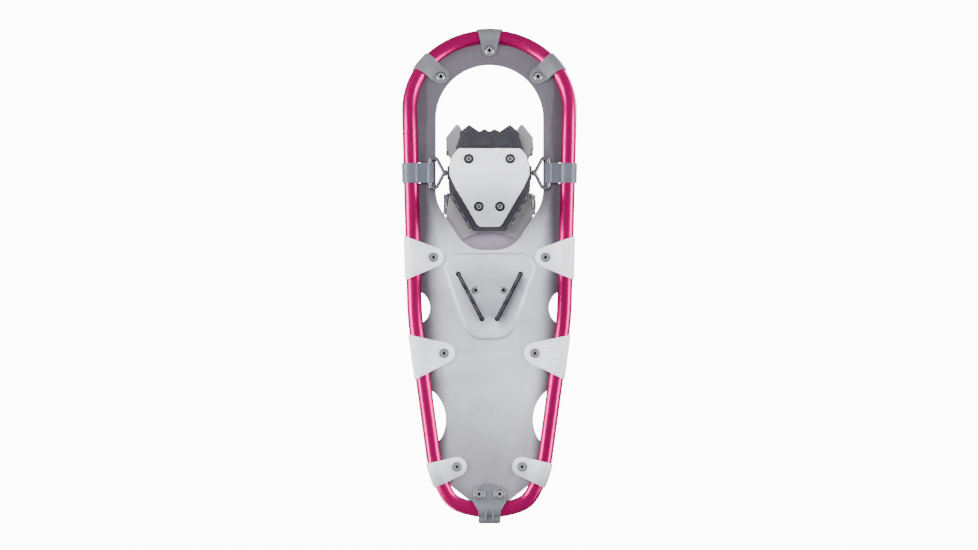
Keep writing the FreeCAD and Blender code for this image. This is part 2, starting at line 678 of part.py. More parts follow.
def make_toe_crampon():
    base = prism(PLATE_OUTLINE, PLATE_Z, RISER_Z)
    ear = box(EAR_X, EAR_X + STEEL_T, PIVOT_Y - 9, PIVOT_Y + 9, PLATE_Z, PIVOT_Z)
    ear = ear.fuse(Part.makeCylinder(9, STEEL_T, V(EAR_X, PIVOT_Y, PIVOT_Z), X_AXIS))
    bore = Part.makeCylinder(STEM_R + RUN_GAP, 2 * STEEL_T, V(EAR_X - 1, PIVOT_Y, PIVOT_Z), X_AXIS)
    ear = ear.cut(bore)
    rear = rear_claw()
    steel = base.fuse([ear, mirrored(ear), rear, mirrored(rear), front_claw()])
    steel = steel.cut(bolt_holes(PLATE_Z - 20, RISER_Z + 1, BOLT_R))
    steel = steel.cut([bore, mirrored(bore)]).removeSplitter()
    parts["toe_crampon"] = steel

    ice_z = PLATE_Z - ICE_T
    ice = prism(ICE_OUTLINE, ice_z, PLATE_Z)
    rim = [e for e in ice.Edges if abs(e.BoundBox.ZMax - ice_z) < 0.01]
    ice = ice.makeFillet(0.9, rim)
    ice = ice.cut(bolt_holes(ice_z, PLATE_Z, BOLT_R))
    ice = ice.cut(bolt_holes(ice_z, ice_z + SEAT_DEPTH, SEAT_R))
    parts["ice_plate"] = ice.cut(steel)

    riser = prism(RISER_OUTLINE, RISER_Z, HARNESS_Z).cut(prism(RISER_WINDOW, RISER_Z, HARNESS_Z))
    parts["binding_riser"] = riser.cut(bolt_holes(RISER_Z, HARNESS_Z, BOLT_R))

    bolts, nuts, washers = [], [], []
    head_z = ice_z + SEAT_DEPTH - BOLT_WASHER_T
    for x, y in BOLT_PLACES:
        washer = Part.makeCylinder(SEAT_R - 0.1, BOLT_WASHER_T, V(x, y, head_z))
        washers.append(washer.cut(Part.makeCylinder(BOLT_R, 3, V(x, y, head_z - 1))))
        head = Part.makeCylinder(BOLT_HEAD_R, 2.6, V(x, y, head_z - 2.6))
        head = head.makeChamfer(0.5, [head.Edges[2]])
        socket = Part.makeCylinder(1.9, 1.8, V(x, y, head_z - 2.6))
        shank = Part.makeCylinder(BOLT_R, SOLE_Z - 0.6 - head_z, V(x, y, head_z))
        bolts.append(head.cut(socket).fuse(shank).removeSplitter())
        nut = Part.makeCylinder(NUT_R, 2.0, V(x, y, SOLE_Z - NUT_SEAT))
        nuts.append(nut.cut(Part.makeCylinder(BOLT_R, 5, V(x, y, SOLE_Z - 4))))
    parts["binding_bolts"] = Part.makeCompound(bolts)
    parts["binding_nuts"] = Part.makeCompound(nuts)
    parts["bolt_washers"] = Part.makeCompound(washers)


# ---- harness base, footbed and heel pieces ----
HARNESS_OUTLINE = symmetric([
    (0, 180, 0), (31, 180, 4), (41, 195, 3), (56, 176, 3), (50, 147, 12), (50, 112, 12),
    (56, 71.5, 2), (38.2, 44.5, 2), (16, 54, 6), (0, 56, 0)])
FOOTBED_OUTLINE = symmetric([
    (0, 181, 0), (32, 181, 12), (44.8, 166, 12), (44.8, 130, 20), (44.5, 80, 14), (37.5, 44, 8),
    (31, 27, 8), (0, 27, 0)])


# each wall's ends at its foot, its ends at its top, and its height
FRONT_WALL = (152, 179, 151, 180, 30)
REAR_WALL = (70, 105, 55, 106, 52)


def wall(y_low0, y_low1, y_high0, y_high1, height):
    """Side wall of the harness, leaning outward from its foot, with rounded upper corners."""
    outline = rounded_wire([(y_low0, 0, 0), (y_low1, 0, 0), (y_high1, height, 7), (y_high0, height, 7)])
    plate = Part.Face(outline).extrude(V(0, 0, HARNESS_T))
    lean = radians(WALL_TILT)
    up = V(sin(lean), 0, cos(lean))
    return placed(plate, V(WALL_X, 0, HARNESS_Z + 1.0), Y_AXIS, up)


def wall_point(height, y, depth):
    """Point on the right-hand wall: height up its slope and depth outward from its inner face."""
    lean = radians(WALL_TILT)
    up = V(sin(lean), 0, cos(lean))
    out = V(cos(lean), 0, -sin(lean))
    return V(WALL_X, y, HARNESS_Z + 1.0) + up * height + out * depth


WALL_OUT = V(cos(radians(WALL_TILT)), 0, -sin(radians(WALL_TILT)))
TOE_STRAP_Y = 165.0
INSTEP_Y = 91.0
TOE_RIVET_UP = 19.0
INSTEP_RIVET_UP = 30.0
HEEL_PIVOT_UP = 44.0
HEEL_PIVOT_Y = 65.5
# each strap's start up its wall, its straight length, its bend radius, its place and its width
TOE_ARCH = (7, 27, 30, TOE_STRAP_Y, 24)
INSTEP_ARCH = (14, 43, 35, INSTEP_Y, 26)
STRAP_GAP = 0.2           # strap to wall
STRAP_HEAD_R = 5.0        # rivets of the straps
NUT_R = 5.5
NUT_SEAT = 2.4            # depth of the nuts' pockets in the footbed


def wall_pin(height, y, radius, d0, d1):
    return Part.makeCylinder(radius, d1 - d0, wall_point(height, y, d0), WALL_OUT)


def arch(low, straight, radius, y, width):
    """Strap over the boot: straight sides along the walls, then arcs up to a level top."""
    lean = radians(WALL_TILT)
    heading = V(sin(lean), 0, cos(lean))

    def half(offset):
        pen = Pen(wall_point(low, 0, HARNESS_T + offset), heading)
        pen.line(straight)
        pen.arc(V(-heading.z, 0, heading.x), radius + offset, 90 + WALL_TILT)
        top = V(0, 0, pen.point.z)
        return pen.edges + [Part.LineSegment(pen.point, top).toShape()]

    inner, outer = half(STRAP_GAP), half(STRAP_GAP + STRAP_T)
    foot = Part.LineSegment(inner[0].Vertexes[0].Point, outer[0].Vertexes[0].Point).toShape()
    crown = Part.LineSegment(inner[-1].Vertexes[-1].Point, outer[-1].Vertexes[-1].Point).toShape()
    edges = Part.__sortEdges__(inner + outer + [foot, crown])
    side = Part.Face(Part.Wire(edges)).extrude(Y_AXIS * width)
    side.translate(V(0, y - width / 2, 0))
    return side.fuse(mirrored(side)).removeSplitter(), outer[-1].Vertexes[-1].Point.z


def make_harness():
    base = prism(HARNESS_OUTLINE, HARNESS_Z, FOOTBED_Z)
    front, rear = wall(*FRONT_WALL), wall(*REAR_WALL)
    holes = []
    for height, y, radius in ((TOE_RIVET_UP, TOE_STRAP_Y, RIVET_SHANK_R),
                              (INSTEP_RIVET_UP, INSTEP_Y, RIVET_SHANK_R),
                              (HEEL_PIVOT_UP, HEEL_PIVOT_Y, RIVET_SHANK_R)):
        hole = wall_pin(height, y, radius, -8, 16)
        holes += [hole, mirrored(hole)]
    walls = [front, rear, mirrored(front), mirrored(rear)]
    harness = base.fuse(walls).cut(holes)
    harness = harness.cut(bolt_holes(HARNESS_Z, FOOTBED_Z, BOLT_R)).removeSplitter()
    parts["harness_base"] = harness

    footbed = prism(FOOTBED_OUTLINE, FOOTBED_Z, SOLE_Z)
    footbed = footbed.cut(bolt_holes(FOOTBED_Z, SOLE_Z, BOLT_R))
    footbed = footbed.cut(bolt_holes(SOLE_Z - NUT_SEAT, SOLE_Z, NUT_R))
    parts["footbed"] = footbed.cut(harness)

    toe_strap, toe_top = arch(*TOE_ARCH)
    instep_strap, instep_top = arch(*INSTEP_ARCH)
    parts["toe_strap"] = toe_strap.cut(holes)
    parts["instep_strap"] = instep_strap.cut(holes)
    pins = []
    for height, y in ((TOE_RIVET_UP, TOE_STRAP_Y), (INSTEP_RIVET_UP, INSTEP_Y)):
        grip = HARNESS_T + STRAP_GAP + STRAP_T
        pin = wall_pin(height, y, RIVET_SHANK_R, 0, grip)
        outer = wall_pin(height, y, STRAP_HEAD_R, grip, grip + RIVET_HEAD_H)
        inner = wall_pin(height, y, STRAP_HEAD_R, -1.0, 0)
        whole = pin.fuse([outer, inner]).removeSplitter()
        pins += [whole, mirrored(whole)]
    parts["strap_rivets"] = Part.makeCompound(pins)
    return toe_top, instep_top


HEEL_PAD_OUTLINE = symmetric([(0, 19, 0), (30, 19, 10), (38, -10, 30), (32, -84, 24), (0, -84, 0)])
HEEL_PAD_INSIDE = symmetric([(0, 14, 0), (26, 14, 8), (33, -10, 26), (28, -76, 20), (0, -76, 0)])
HEEL_TEETH = 3
HEEL_TOOTH_H = 10.0


def make_heel_pieces():
    floor = DECK_TOP - EMBOSS
    plate = prism(heel_triangle(8.0), floor, floor + HEEL_T)
    (x0, y0), (x1, y1) = HEEL_BLADE
    start, end = V(x0, y0, floor + HEEL_T), V(x1, y1, floor + HEEL_T)
    along = (end - start).normalize()
    depth = start.z - TOOTH_TIP_Z
    length = start.distanceToPoint(end)
    pitch = length / HEEL_TEETH
    points = [(0.0, 0.0), (0.0, depth - HEEL_TOOTH_H)]
    for i in range(HEEL_TEETH):
        points += [(pitch * (i + 0.3), depth), (pitch * (i + 0.6), depth)]
        if i < HEEL_TEETH - 1:
            points.append((pitch * (i + 1), depth - HEEL_TOOTH_H))
    points += [(length, depth - HEEL_TOOTH_H), (length, 0.0)]
    down = Z_AXIS * -1
    inward = along.cross(down)
    blade = toothed_blade(points, HEEL_T, start - inward * (HEEL_T / 2), along, down)
    holes = [Part.makeCylinder(RIVET_SHANK_R, 40, V(s * HEEL_RIVET_X, HEEL_RIVET_Y, 20))
             for s in (1, -1)]
    crampon = plate.fuse([blade, mirrored(blade)]).cut(holes).removeSplitter()
    parts["heel_crampon"] = crampon

    rivets = []
    low, high = DECK_LOW - EMBOSS, floor + HEEL_T
    for s in (1, -1):
        x, y = s * HEEL_RIVET_X, HEEL_RIVET_Y
        shank = Part.makeCylinder(RIVET_SHANK_R, high - low, V(x, y, low))
        flange = Part.makeCone(4.2, 5.2, RIVET_HEAD_H, V(x, y, low - RIVET_HEAD_H))
        head = Part.makeCylinder(4.5, 0.9, V(x, y, high))
        bore = Part.makeCylinder(RIVET_BORE_R, 3.0, V(x, y, low - RIVET_HEAD_H))
        rivets.append(shank.fuse([flange, head]).cut(bore).removeSplitter())
    parts["heel_crampon_rivets"] = Part.makeCompound(rivets)

    pad = prism(HEEL_PAD_OUTLINE, DECK_TOP, SOLE_Z)
    hollow = prism(HEEL_PAD_INSIDE, DECK_TOP, DECK_TOP + HEEL_PAD_HOLLOW)
    parts["heel_pad"] = pad.cut(hollow)


# ---- buckles: a base plate with two cheeks, a lever on a cross pin ----
BUCKLE_L, BUCKLE_W = 30.0, 26.0
BUCKLE_PIN_R = 1.5
LEVER_PIN = (-9.0, 5.0)   # along the strap from the buckle's middle, and above the strap


def buckle(name, origin, along, across):
    """Buckle in a frame whose x runs along the strap, y across it and z out of it."""
    half = BUCKLE_W / 2
    base = box(-BUCKLE_L / 2, BUCKLE_L / 2, -half, half, 0, 1.8)
    px, pz = LEVER_PIN
    for y0 in (-half, half - 2.0):
        cheek = box(px - 5, px + 9, y0, y0 + 2.0, 1.8, pz)
        cheek = cheek.fuse(Part.makeCylinder(4.0, 2.0, V(px, y0, pz), Y_AXIS))
        base = base.fuse(cheek)
    hole = Part.makeCylinder(BUCKLE_PIN_R, BUCKLE_W + 4, V(px, -half - 2, pz), Y_AXIS)
    base = base.cut(hole).removeSplitter()
    inner = half - 2.3
    arm = box(px, px + 27, -inner, inner, pz + 1.2, pz + 3.4)
    hub = Part.makeCylinder(3.0, 2 * inner, V(px, -inner, pz), Y_AXIS)
    nose = Part.makeCylinder(2.4, 2 * inner, V(px + 27, -inner, pz + 1.6), Y_AXIS)
    lever = arm.fuse([hub, nose, box(px, px + 4, -inner, inner, pz, pz + 2)])
    bore = Part.makeCylinder(BUCKLE_PIN_R + RUN_GAP, BUCKLE_W, V(px, -half, pz), Y_AXIS)
    lever = lever.cut(bore).removeSplitter()
    pin = Part.makeCylinder(BUCKLE_PIN_R, BUCKLE_W, V(px, -half, pz), Y_AXIS)
    for piece, shape in (("base", base), ("lever", lever), ("pin", pin)):
        parts[name + "_buckle_" + piece] = placed(shape, origin, along, across)
    normal = along.cross(across)
    place = origin + along * px + normal * pz
    print(name, "lever axis", [round(c, 3) for c in place], [round(c, 4) for c in across * -1])


# ---- heel strap ----
HEEL_STRAP_W = 18.0
HEEL_STRAP_T = 2.5
HEEL_STRAP_REAR_Y = -86.0
HEEL_STRAP_FRONT = 6.5    # past its pivots
HEEL_PAD_T = 6.0
HEEL_BOSS_R = 4.0         # posts that the strap turns on
HEEL_HALF_X = 46.0        # inner half width round the boot's heel
WAIST_FRONT_Y, WAIST_REAR_Y = 30.0, -35.0


def heel_outline(x_front, y_front, offset):
    """Plan of the heel strap's inner face moved outward by offset, open at its front."""
    return symmetric([(x_front + offset, y_front, 0), (x_front + offset, WAIST_FRONT_Y, 50),
                      (HEEL_HALF_X + offset, WAIST_REAR_Y, 50),
                      (HEEL_HALF_X + offset, HEEL_STRAP_REAR_Y - offset, 36 + offset)])


def make_heel_strap():
    centre = wall_point(HEEL_PIVOT_UP, HEEL_PIVOT_Y, HARNESS_T)
    x_in = centre.x + 1.6
    y_end = HEEL_PIVOT_Y + HEEL_STRAP_FRONT
    z0, z1 = centre.z - HEEL_STRAP_W / 2, centre.z + HEEL_STRAP_W / 2
    strap = prism(heel_outline(x_in, y_end, HEEL_STRAP_T), z0, z1)
    strap = strap.cut(prism(heel_outline(x_in, y_end + 5, 0), z0 - 1, z1 + 1))
    hole = Part.makeCylinder(HEEL_BOSS_R + RUN_GAP, 12, V(x_in - 4, HEEL_PIVOT_Y, centre.z), X_AXIS)
    parts["heel_strap"] = strap.cut([hole, mirrored(hole)])
    pad = prism(heel_outline(x_in, y_end, 0), z0 - 3, z1 + 3)
    pad = pad.cut(prism(heel_outline(x_in, y_end + 5, -HEEL_PAD_T), z0 - 4, z1 + 4))
    parts["heel_strap_pad"] = pad.cut(box(-100, 100, WAIST_REAR_Y - 8, 200, z0 - 4, z1 + 4))

    post = wall_pin(HEEL_PIVOT_UP, HEEL_PIVOT_Y, RIVET_SHANK_R, 0, HARNESS_T)
    cap = wall_pin(HEEL_PIVOT_UP, HEEL_PIVOT_Y, STRAP_HEAD_R, -1.0, 0)
    boss = Part.makeCylinder(HEEL_BOSS_R, HEEL_STRAP_T + 1.2,
                             V(x_in - 0.6, HEEL_PIVOT_Y, centre.z), X_AXIS)
    collar = Part.makeCylinder(6.0, 1.4, V(x_in + HEEL_STRAP_T + 0.4, HEEL_PIVOT_Y, centre.z), X_AXIS)
    root = wall_pin(HEEL_PIVOT_UP, HEEL_PIVOT_Y, 5.5, HARNESS_T, HARNESS_T + 1.6)
    root = root.common(box(0, x_in - 0.3, 0, 100, 0, 200))
    pivot = post.fuse([cap, boss, collar, root]).removeSplitter()
    parts["heel_strap_pivots"] = Part.makeCompound([pivot, mirrored(pivot)])
    print("heel pivot", round(HEEL_PIVOT_Y, 3), round(centre.z, 3))

    front = V(x_in + HEEL_STRAP_T, WAIST_FRONT_Y, centre.z)
    rear = V(HEEL_HALF_X + HEEL_STRAP_T, WAIST_REAR_Y, centre.z)
    buckle("heel", (front + rear) * 0.5, (front - rear).normalize(), Z_AXIS)


def main():
    make_frame()
    make_deck()
    make_clips()
    make_tail_bracket()
    make_hinge()
    make_toe_crampon()
    toe_top, instep_top = make_harness()
    make_heel_pieces()
    buckle("toe", V(6, TOE_STRAP_Y, toe_top), X_AXIS, Y_AXIS)
    buckle("instep", V(6, INSTEP_Y, instep_top), X_AXIS, Y_AXIS)
    make_heel_strap()
    os.makedirs("parts", exist_ok=True)
    for name, shape in parts.items():
        shape.exportStep("parts/" + name + ".step")
        b = shape.BoundBox
        print(name, len(shape.Solids), shape.isValid(), round(shape.Volume),
              [round(v, 1) for v in (b.XMin, b.XMax, b.YMin, b.YMax, b.ZMin, b.ZMax)])


main()
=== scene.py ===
"""Finished look of a tubular snowshoe: cloth, webbing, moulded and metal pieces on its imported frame."""
import functools
import json
import math

import bmesh
import bpy
import numpy as np
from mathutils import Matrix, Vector


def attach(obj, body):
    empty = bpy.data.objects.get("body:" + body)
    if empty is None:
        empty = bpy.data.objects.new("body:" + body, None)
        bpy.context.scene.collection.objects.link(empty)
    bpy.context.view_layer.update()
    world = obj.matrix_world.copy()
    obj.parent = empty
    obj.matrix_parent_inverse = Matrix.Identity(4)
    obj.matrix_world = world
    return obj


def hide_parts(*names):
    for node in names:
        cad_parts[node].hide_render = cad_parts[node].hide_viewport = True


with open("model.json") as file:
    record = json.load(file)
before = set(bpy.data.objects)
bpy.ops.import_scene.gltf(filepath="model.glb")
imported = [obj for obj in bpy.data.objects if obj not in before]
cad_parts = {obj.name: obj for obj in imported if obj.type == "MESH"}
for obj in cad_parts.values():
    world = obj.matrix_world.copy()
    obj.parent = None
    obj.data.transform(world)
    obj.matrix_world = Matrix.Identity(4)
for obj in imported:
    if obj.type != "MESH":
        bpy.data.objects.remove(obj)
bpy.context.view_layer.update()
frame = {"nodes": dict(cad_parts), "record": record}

bl_info = {
    "name": "Snowshoe Maker",
    "version": (1, 0, 0),
    "blender": (4, 5, 0),
    "location": "View3D > Sidebar > Snowshoe",
    "description": "Builds the finished surfaces of a tubular snowshoe on its packed frame",
    "category": "Object",
}

MM = 0.001
BODIES = frame["record"]["behaviour"]["bodies"]
BODY_OF = {node: body for body, nodes in BODIES.items() for node in nodes}
SLOT_OF = {part["node"]: part["material_slot"] for part in frame["record"]["subparts"]}
UP = (0.0, 0.0, 1.0)


# ---- shader maths ----
class Value:
    """One shader socket; an expression on values adds Math nodes to its tree."""

    def __init__(self, graph, socket):
        self.graph = graph
        self.socket = socket

    def maths(self, operation, first, second):
        return self.graph.node("ShaderNodeMath", {"operation": operation}, {0: first, 1: second})

    def __add__(self, other):
        return self.maths("ADD", self, other)

    def __radd__(self, other):
        return self.maths("ADD", other, self)

    def __sub__(self, other):
        return self.maths("SUBTRACT", self, other)

    def __rsub__(self, other):
        return self.maths("SUBTRACT", other, self)

    def __mul__(self, other):
        return self.maths("MULTIPLY", self, other)

    def __rmul__(self, other):
        return self.maths("MULTIPLY", other, self)

    def __truediv__(self, other):
        return self.maths("DIVIDE", self, other)

    def __lt__(self, other):
        return self.maths("LESS_THAN", self, other)

    def maximum(self, other):
        return self.maths("MAXIMUM", self, other)

    def minimum(self, other):
        return self.maths("MINIMUM", self, other)

    def abs(self):
        return self.maths("ABSOLUTE", self, 0.0)

    def sine(self):
        return self.maths("SINE", self, 0.0)

    def ramp(self, low, high):
        """0 below low, 1 above high, smooth between."""
        return self.graph.node("ShaderNodeMapRange", {"interpolation_type": "SMOOTHSTEP"},
                               {"Value": self, "From Min": low, "From Max": high})


class Finish:
    """A material under construction: its node tree, its Principled shader and its coordinates."""

    def __init__(self, name, **shader):
        self.material = bpy.data.materials.new(name)
        self.material.use_nodes = True
        self.tree = self.material.node_tree
        self.tree.nodes.clear()
        output = self.tree.nodes.new("ShaderNodeOutputMaterial")
        self.shader = self.tree.nodes.new("ShaderNodeBsdfPrincipled")
        self.tree.links.new(self.shader.outputs[0], output.inputs[0])
        self.output = output
        for socket, value in shader.items():
            self.shader.inputs[socket.replace("_", " ")].default_value = value

    def node(self, kind, settings, inputs, output=0):
        """Adds a node: its settings first, then its sockets, by name or number; returns one output."""
        made = self.tree.nodes.new(kind)
        for key, value in settings.items():
            setattr(made, key, value)
        for key, value in inputs.items():
            if isinstance(value, Value):
                self.tree.links.new(value.socket, made.inputs[key])
            else:
                made.inputs[key].default_value = value
        return Value(self, made.outputs[output])

    def place(self):
        return self.node("ShaderNodeTexCoord", {}, {}, "Object")

    def uv(self):
        return self.node("ShaderNodeTexCoord", {}, {}, "UV")

    def axes(self, vector):
        made = self.tree.nodes.new("ShaderNodeSeparateXYZ")
        self.tree.links.new(vector.socket, made.inputs[0])
        return [Value(self, made.outputs[i]) for i in range(3)]

    def noise(self, scale, detail=2.0, roughness=0.5, vector=None, stretch=None):
        """Cloudy value near 0.5; stretch lengthens it along an axis."""
        vector = vector or self.place()
        if stretch:
            vector = self.node("ShaderNodeMapping", {}, {"Vector": vector, "Scale": stretch})
        return self.node("ShaderNodeTexNoise", {}, {"Vector": vector, "Scale": scale, "Detail": detail,
                                                    "Roughness": roughness})

    def cells(self, scale):
        """Distance to the nearest point of a scattered grid."""
        return self.node("ShaderNodeTexVoronoi", {}, {"Vector": self.place(), "Scale": scale})

    def blend(self, factor, first, second):
        """Mixes two colours, given as colours or as colour values."""
        return self.node("ShaderNodeMix", {"data_type": "RGBA"}, {0: factor, 6: first, 7: second}, 2)

    def feed(self, socket, value):
        self.tree.links.new(value.socket, self.shader.inputs[socket])

    def bump(self, height, distance, strength=1.0):
        normal = self.node("ShaderNodeBump", {},
                           {"Height": height, "Distance": distance, "Strength": strength})
        self.feed("Normal", normal)


def rgb(colour, gain=1.0):
    """Colour with an opaque fourth value, brightened by gain."""
    return (*[min(1.0, channel * gain) for channel in colour[:3]], 1.0)


def anodised(colour):
    """Anodised tube: coloured metal under a thin clear layer, with drawing lines along its UV map."""
    skin = Finish("anodised_tube", Metallic=0.9, Roughness=0.3, Coat_Weight=0.12, Coat_Roughness=0.3)
    cloud = skin.noise(9.0, 3.0)
    streak = skin.noise(900.0, 2.0, vector=skin.uv(), stretch=(0.02, 1.0, 1.0))
    skin.feed("Base Color", skin.blend(cloud.ramp(0.3, 0.7), rgb(colour, 0.88), rgb(colour, 1.1)))
    skin.feed("Roughness", 0.3 + streak * 0.02 + cloud * 0.04)
    skin.bump(streak, 0.000001)
    return skin.material


# all in metres: half width of the deck, where it starts to taper and how fast it does, which place the
# painted shade beside the tube
DECK_HALF, DECK_TAPER_Y, DECK_TAPER = 0.088, -0.075, 0.135
# where painted shade darkens the deck: the toe band, the tail and the dish's sloping side
TOE_SHADE = (0.03, 0.11)                    # y over which the toe band darkens
TAIL_SHADE = (0.13, 0.27)                   # the same for the tail, towards -y
DISH_FOOT, DISH_RIM = (0.0350, 0.0356), (0.0366, 0.0372)   # heights of the dish's sloping side
DISH_FRONT_Y = 0.04


def deck_film(pale, dark):
    """Coated deck sheet: pale in the middle, with painted shade beside the tube, at both ends and on the
    sloping side of the dished heel triangle, and softly wavy."""
    skin = Finish("deck_film", Roughness=0.4, Metallic=0.2, Coat_Weight=0.1, Coat_Roughness=0.3)
    x, y, z = skin.axes(skin.place())
    cloud = skin.noise(14.0, 3.0)
    # painted shade beside the tube, in a band that narrows with the deck's taper
    half = DECK_HALF - (DECK_TAPER_Y - y).maximum(0.0) * DECK_TAPER
    edge = (x.abs() / half + cloud * 0.16).ramp(0.74, 1.04)
    # painted shade on the toe band and towards the tail
    toe = y.ramp(*TOE_SHADE)
    tail = (0.0 - y).ramp(*TAIL_SHADE)
    # painted shade on the sloping side of the dished heel triangle
    slope = z.ramp(*DISH_FOOT) * (1.0 - z.ramp(*DISH_RIM)) * (y < DISH_FRONT_Y)
    mask = edge.maximum(toe * 0.93).maximum(tail * 0.55).maximum(slope * 0.4)
    with_painted_shade = skin.blend(mask, rgb(pale), rgb(dark))
    # cloudy darker patches, towards the same colour as the painted shade
    skin.feed("Base Color", skin.blend(cloud.ramp(0.35, 0.75) * 0.25, with_painted_shade, rgb(dark)))
    grain = skin.noise(1500.0, 1.0)
    wave = skin.noise(13.0, 1.0)
    skin.feed("Roughness", 0.32 + cloud * 0.16)
    skin.bump(wave + grain * 0.004, 0.007, 0.7)
    return skin.material


def moulded(name, colour, roughness=0.45, grain=900.0, depth=0.00008, coat=0.0, spread=0.12):
    """Moulded plastic: faint clouding, fine grain and a slight change of gloss."""
    skin = Finish(name, Roughness=roughness, Coat_Weight=coat, Coat_Roughness=0.2)
    cloud = skin.noise(30.0, 3.0)
    speck = skin.noise(grain, 2.0)
    deep, bright = rgb(colour, 1.0 - spread), rgb(colour, 1.0 + spread / 2)
    skin.feed("Base Color", skin.blend(cloud.ramp(0.25, 0.75), deep, bright))
    skin.feed("Roughness", roughness - 0.06 + speck * 0.12)
    skin.bump(speck, depth)
    return skin.material


def shaded_white(name, colour, shade, low, high, coat=0.2):
    """White moulding with painted shade that greys it from y = high back to y = low, in metres."""
    skin = Finish(name, Roughness=0.34, Coat_Weight=coat, Coat_Roughness=0.2)
    y = skin.axes(skin.place())[1]
    cloud = skin.noise(25.0, 3.0)
    speck = skin.noise(900.0, 2.0)
    painted_shade_amount = 1.0 - (y + cloud * 0.01).ramp(low, high)
    skin.feed("Base Color", skin.blend(painted_shade_amount, rgb(colour), rgb(shade)))
    skin.feed("Roughness", 0.28 + speck * 0.12)
    skin.bump(speck, 0.00003)
    return skin.material


HATCH_COLOUR = (0.30, 0.31, 0.34)
HATCH_START = (0.066, 0.078)                # x in metres over which the hatching begins


def etched_white(colour):
    """White clip with a generic pattern of fine grey hatching lines."""
    skin = Finish("hatched_clip", Roughness=0.4)
    x, y = skin.axes(skin.place())[:2]
    warp = skin.noise(22.0, 2.0)
    fan = (x.abs() * 520.0 + y * 560.0 + warp * 10.0).sine().abs()
    cross = (x.abs() * 260.0 - y * 820.0 + warp * 14.0).sine().abs()
    patch = skin.noise(60.0, 1.0)
    line = (fan < 0.3) * patch.ramp(0.47, 0.5)
    other = (cross < 0.26) * (1.0 - patch.ramp(0.5, 0.53))
    mask = (line + other) * x.abs().ramp(*HATCH_START) * 0.8
    skin.feed("Base Color", skin.blend(mask, rgb(colour), rgb(HATCH_COLOUR)))
    skin.feed("Roughness", 0.38 + skin.noise(700.0) * 0.08)
    return skin.material


def woven(name, colour, thread=0.0011, gloss=0.5, depth=0.0002):
    """Plain weave on the piece's own UV map, in metres: warp and weft ribs pass over each other;
    painted shade darkens the hollows between them and painted highlight lightens their tops.
    """
    skin = Finish(name, Roughness=gloss, Sheen_Weight=0.25, Sheen_Roughness=0.5)
    u, v = skin.axes(skin.uv())[:2]
    warp = (u * (math.pi / thread)).sine()
    weft = (v * (math.pi / thread)).sine()
    height = (warp * weft) * 0.5 + (v * (2.0 * math.pi / thread)).sine() * 0.25
    cloud = skin.noise(40.0, 3.0)
    # painted shade in the weave's hollows and painted highlight on its ribs, from the same height as the
    # bump, over a cloudy tone
    shade = height.ramp(-0.7, 0.7) * 0.7 + cloud * 0.3
    skin.feed("Base Color", skin.blend(shade, rgb(colour, 0.55), rgb(colour, 1.25)))
    skin.feed("Roughness", gloss + height * 0.08)
    skin.bump(height, depth)
    return skin.material


def bright_metal(name, colour, roughness=0.12, brushing=0.05, wear=0.1):
    """Polished or brushed metal with faint rubbing marks."""
    skin = Finish(name, Metallic=1.0, Roughness=roughness)
    rub = skin.noise(420.0, 3.0, stretch=(1.0, 0.2, 1.0))
    cloud = skin.noise(35.0, 2.0)
    skin.feed("Base Color", skin.blend(cloud, rgb(colour, 1.0 - wear), rgb(colour)))
    skin.feed("Roughness", roughness + rub * brushing)
    skin.bump(rub, 0.00002)
    return skin.material


def islands(node):
    """Plan centres, in metres, of a node's separate solids on the side where x isn't negative."""
    work = bmesh.new()
    work.from_mesh(frame["nodes"][node].data)
    bmesh.ops.remove_doubles(work, verts=work.verts, dist=1e-6)
    left, places = set(work.verts), []
    while left:
        found, front = set(), [left.pop()]
        while front:
            vertex = front.pop()
            found.add(vertex)
            for edge in vertex.link_edges:
                other = edge.other_vert(vertex)
                if other in left:
                    left.remove(other)
                    front.append(other)
        points = np.array([v.co[:] for v in found])
        places.append((points.min(0) + points.max(0)) / 2)
    work.free()
    return sorted([tuple(c) for c in places if c[0] > -0.001])


# dark rings of painted shade on the fasteners, in their bores and recesses, as (from, to) radii in
# millimetres, and the softness of their edges
RIVET_RINGS = ((-1.0, 2.1), (5.1, 9.0))
WASHER_RINGS = ((5.6, 6.2),)
BOLT_RINGS = ((0.9, 1.9), (3.3, 9.0))
RING_BLUR = 0.2
RING_SHADE = (0.03, 0.03, 0.035)


def ringed(name, node, colour, rings, metallic=1.0, roughness=0.3):
    """Round fasteners: light metal with painted shade as dark rings round the axis of each."""
    skin = Finish(name, Metallic=metallic, Roughness=roughness)
    x, y = skin.axes(skin.place())[:2]
    flat = skin.node("ShaderNodeCombineXYZ", {}, {0: x.abs(), 1: y})
    distance = {"operation": "DISTANCE"}
    far = [skin.node("ShaderNodeVectorMath", distance, {0: flat, 1: (cx, cy, 0.0)}, "Value")
           for cx, cy, cz in islands(node)]
    radius = functools.reduce(Value.minimum, far)

    def beyond(limit):
        return radius.ramp((limit - RING_BLUR) * MM, (limit + RING_BLUR) * MM)

    shade_bands = [beyond(low) * (1.0 - beyond(high)) for low, high in rings]
    mask = functools.reduce(Value.__add__, shade_bands)
    cloud = skin.noise(300.0, 3.0)
    # painted shade: the dark rings, a little cloudy
    skin.feed("Base Color", skin.blend(mask * (0.8 + cloud * 0.3), rgb(colour), rgb(RING_SHADE)))
    skin.feed("Roughness", roughness - 0.08 + cloud * 0.16)
    return skin.material


WORN_HEIGHT = 0.006                         # metres of each tooth that are rubbed bare


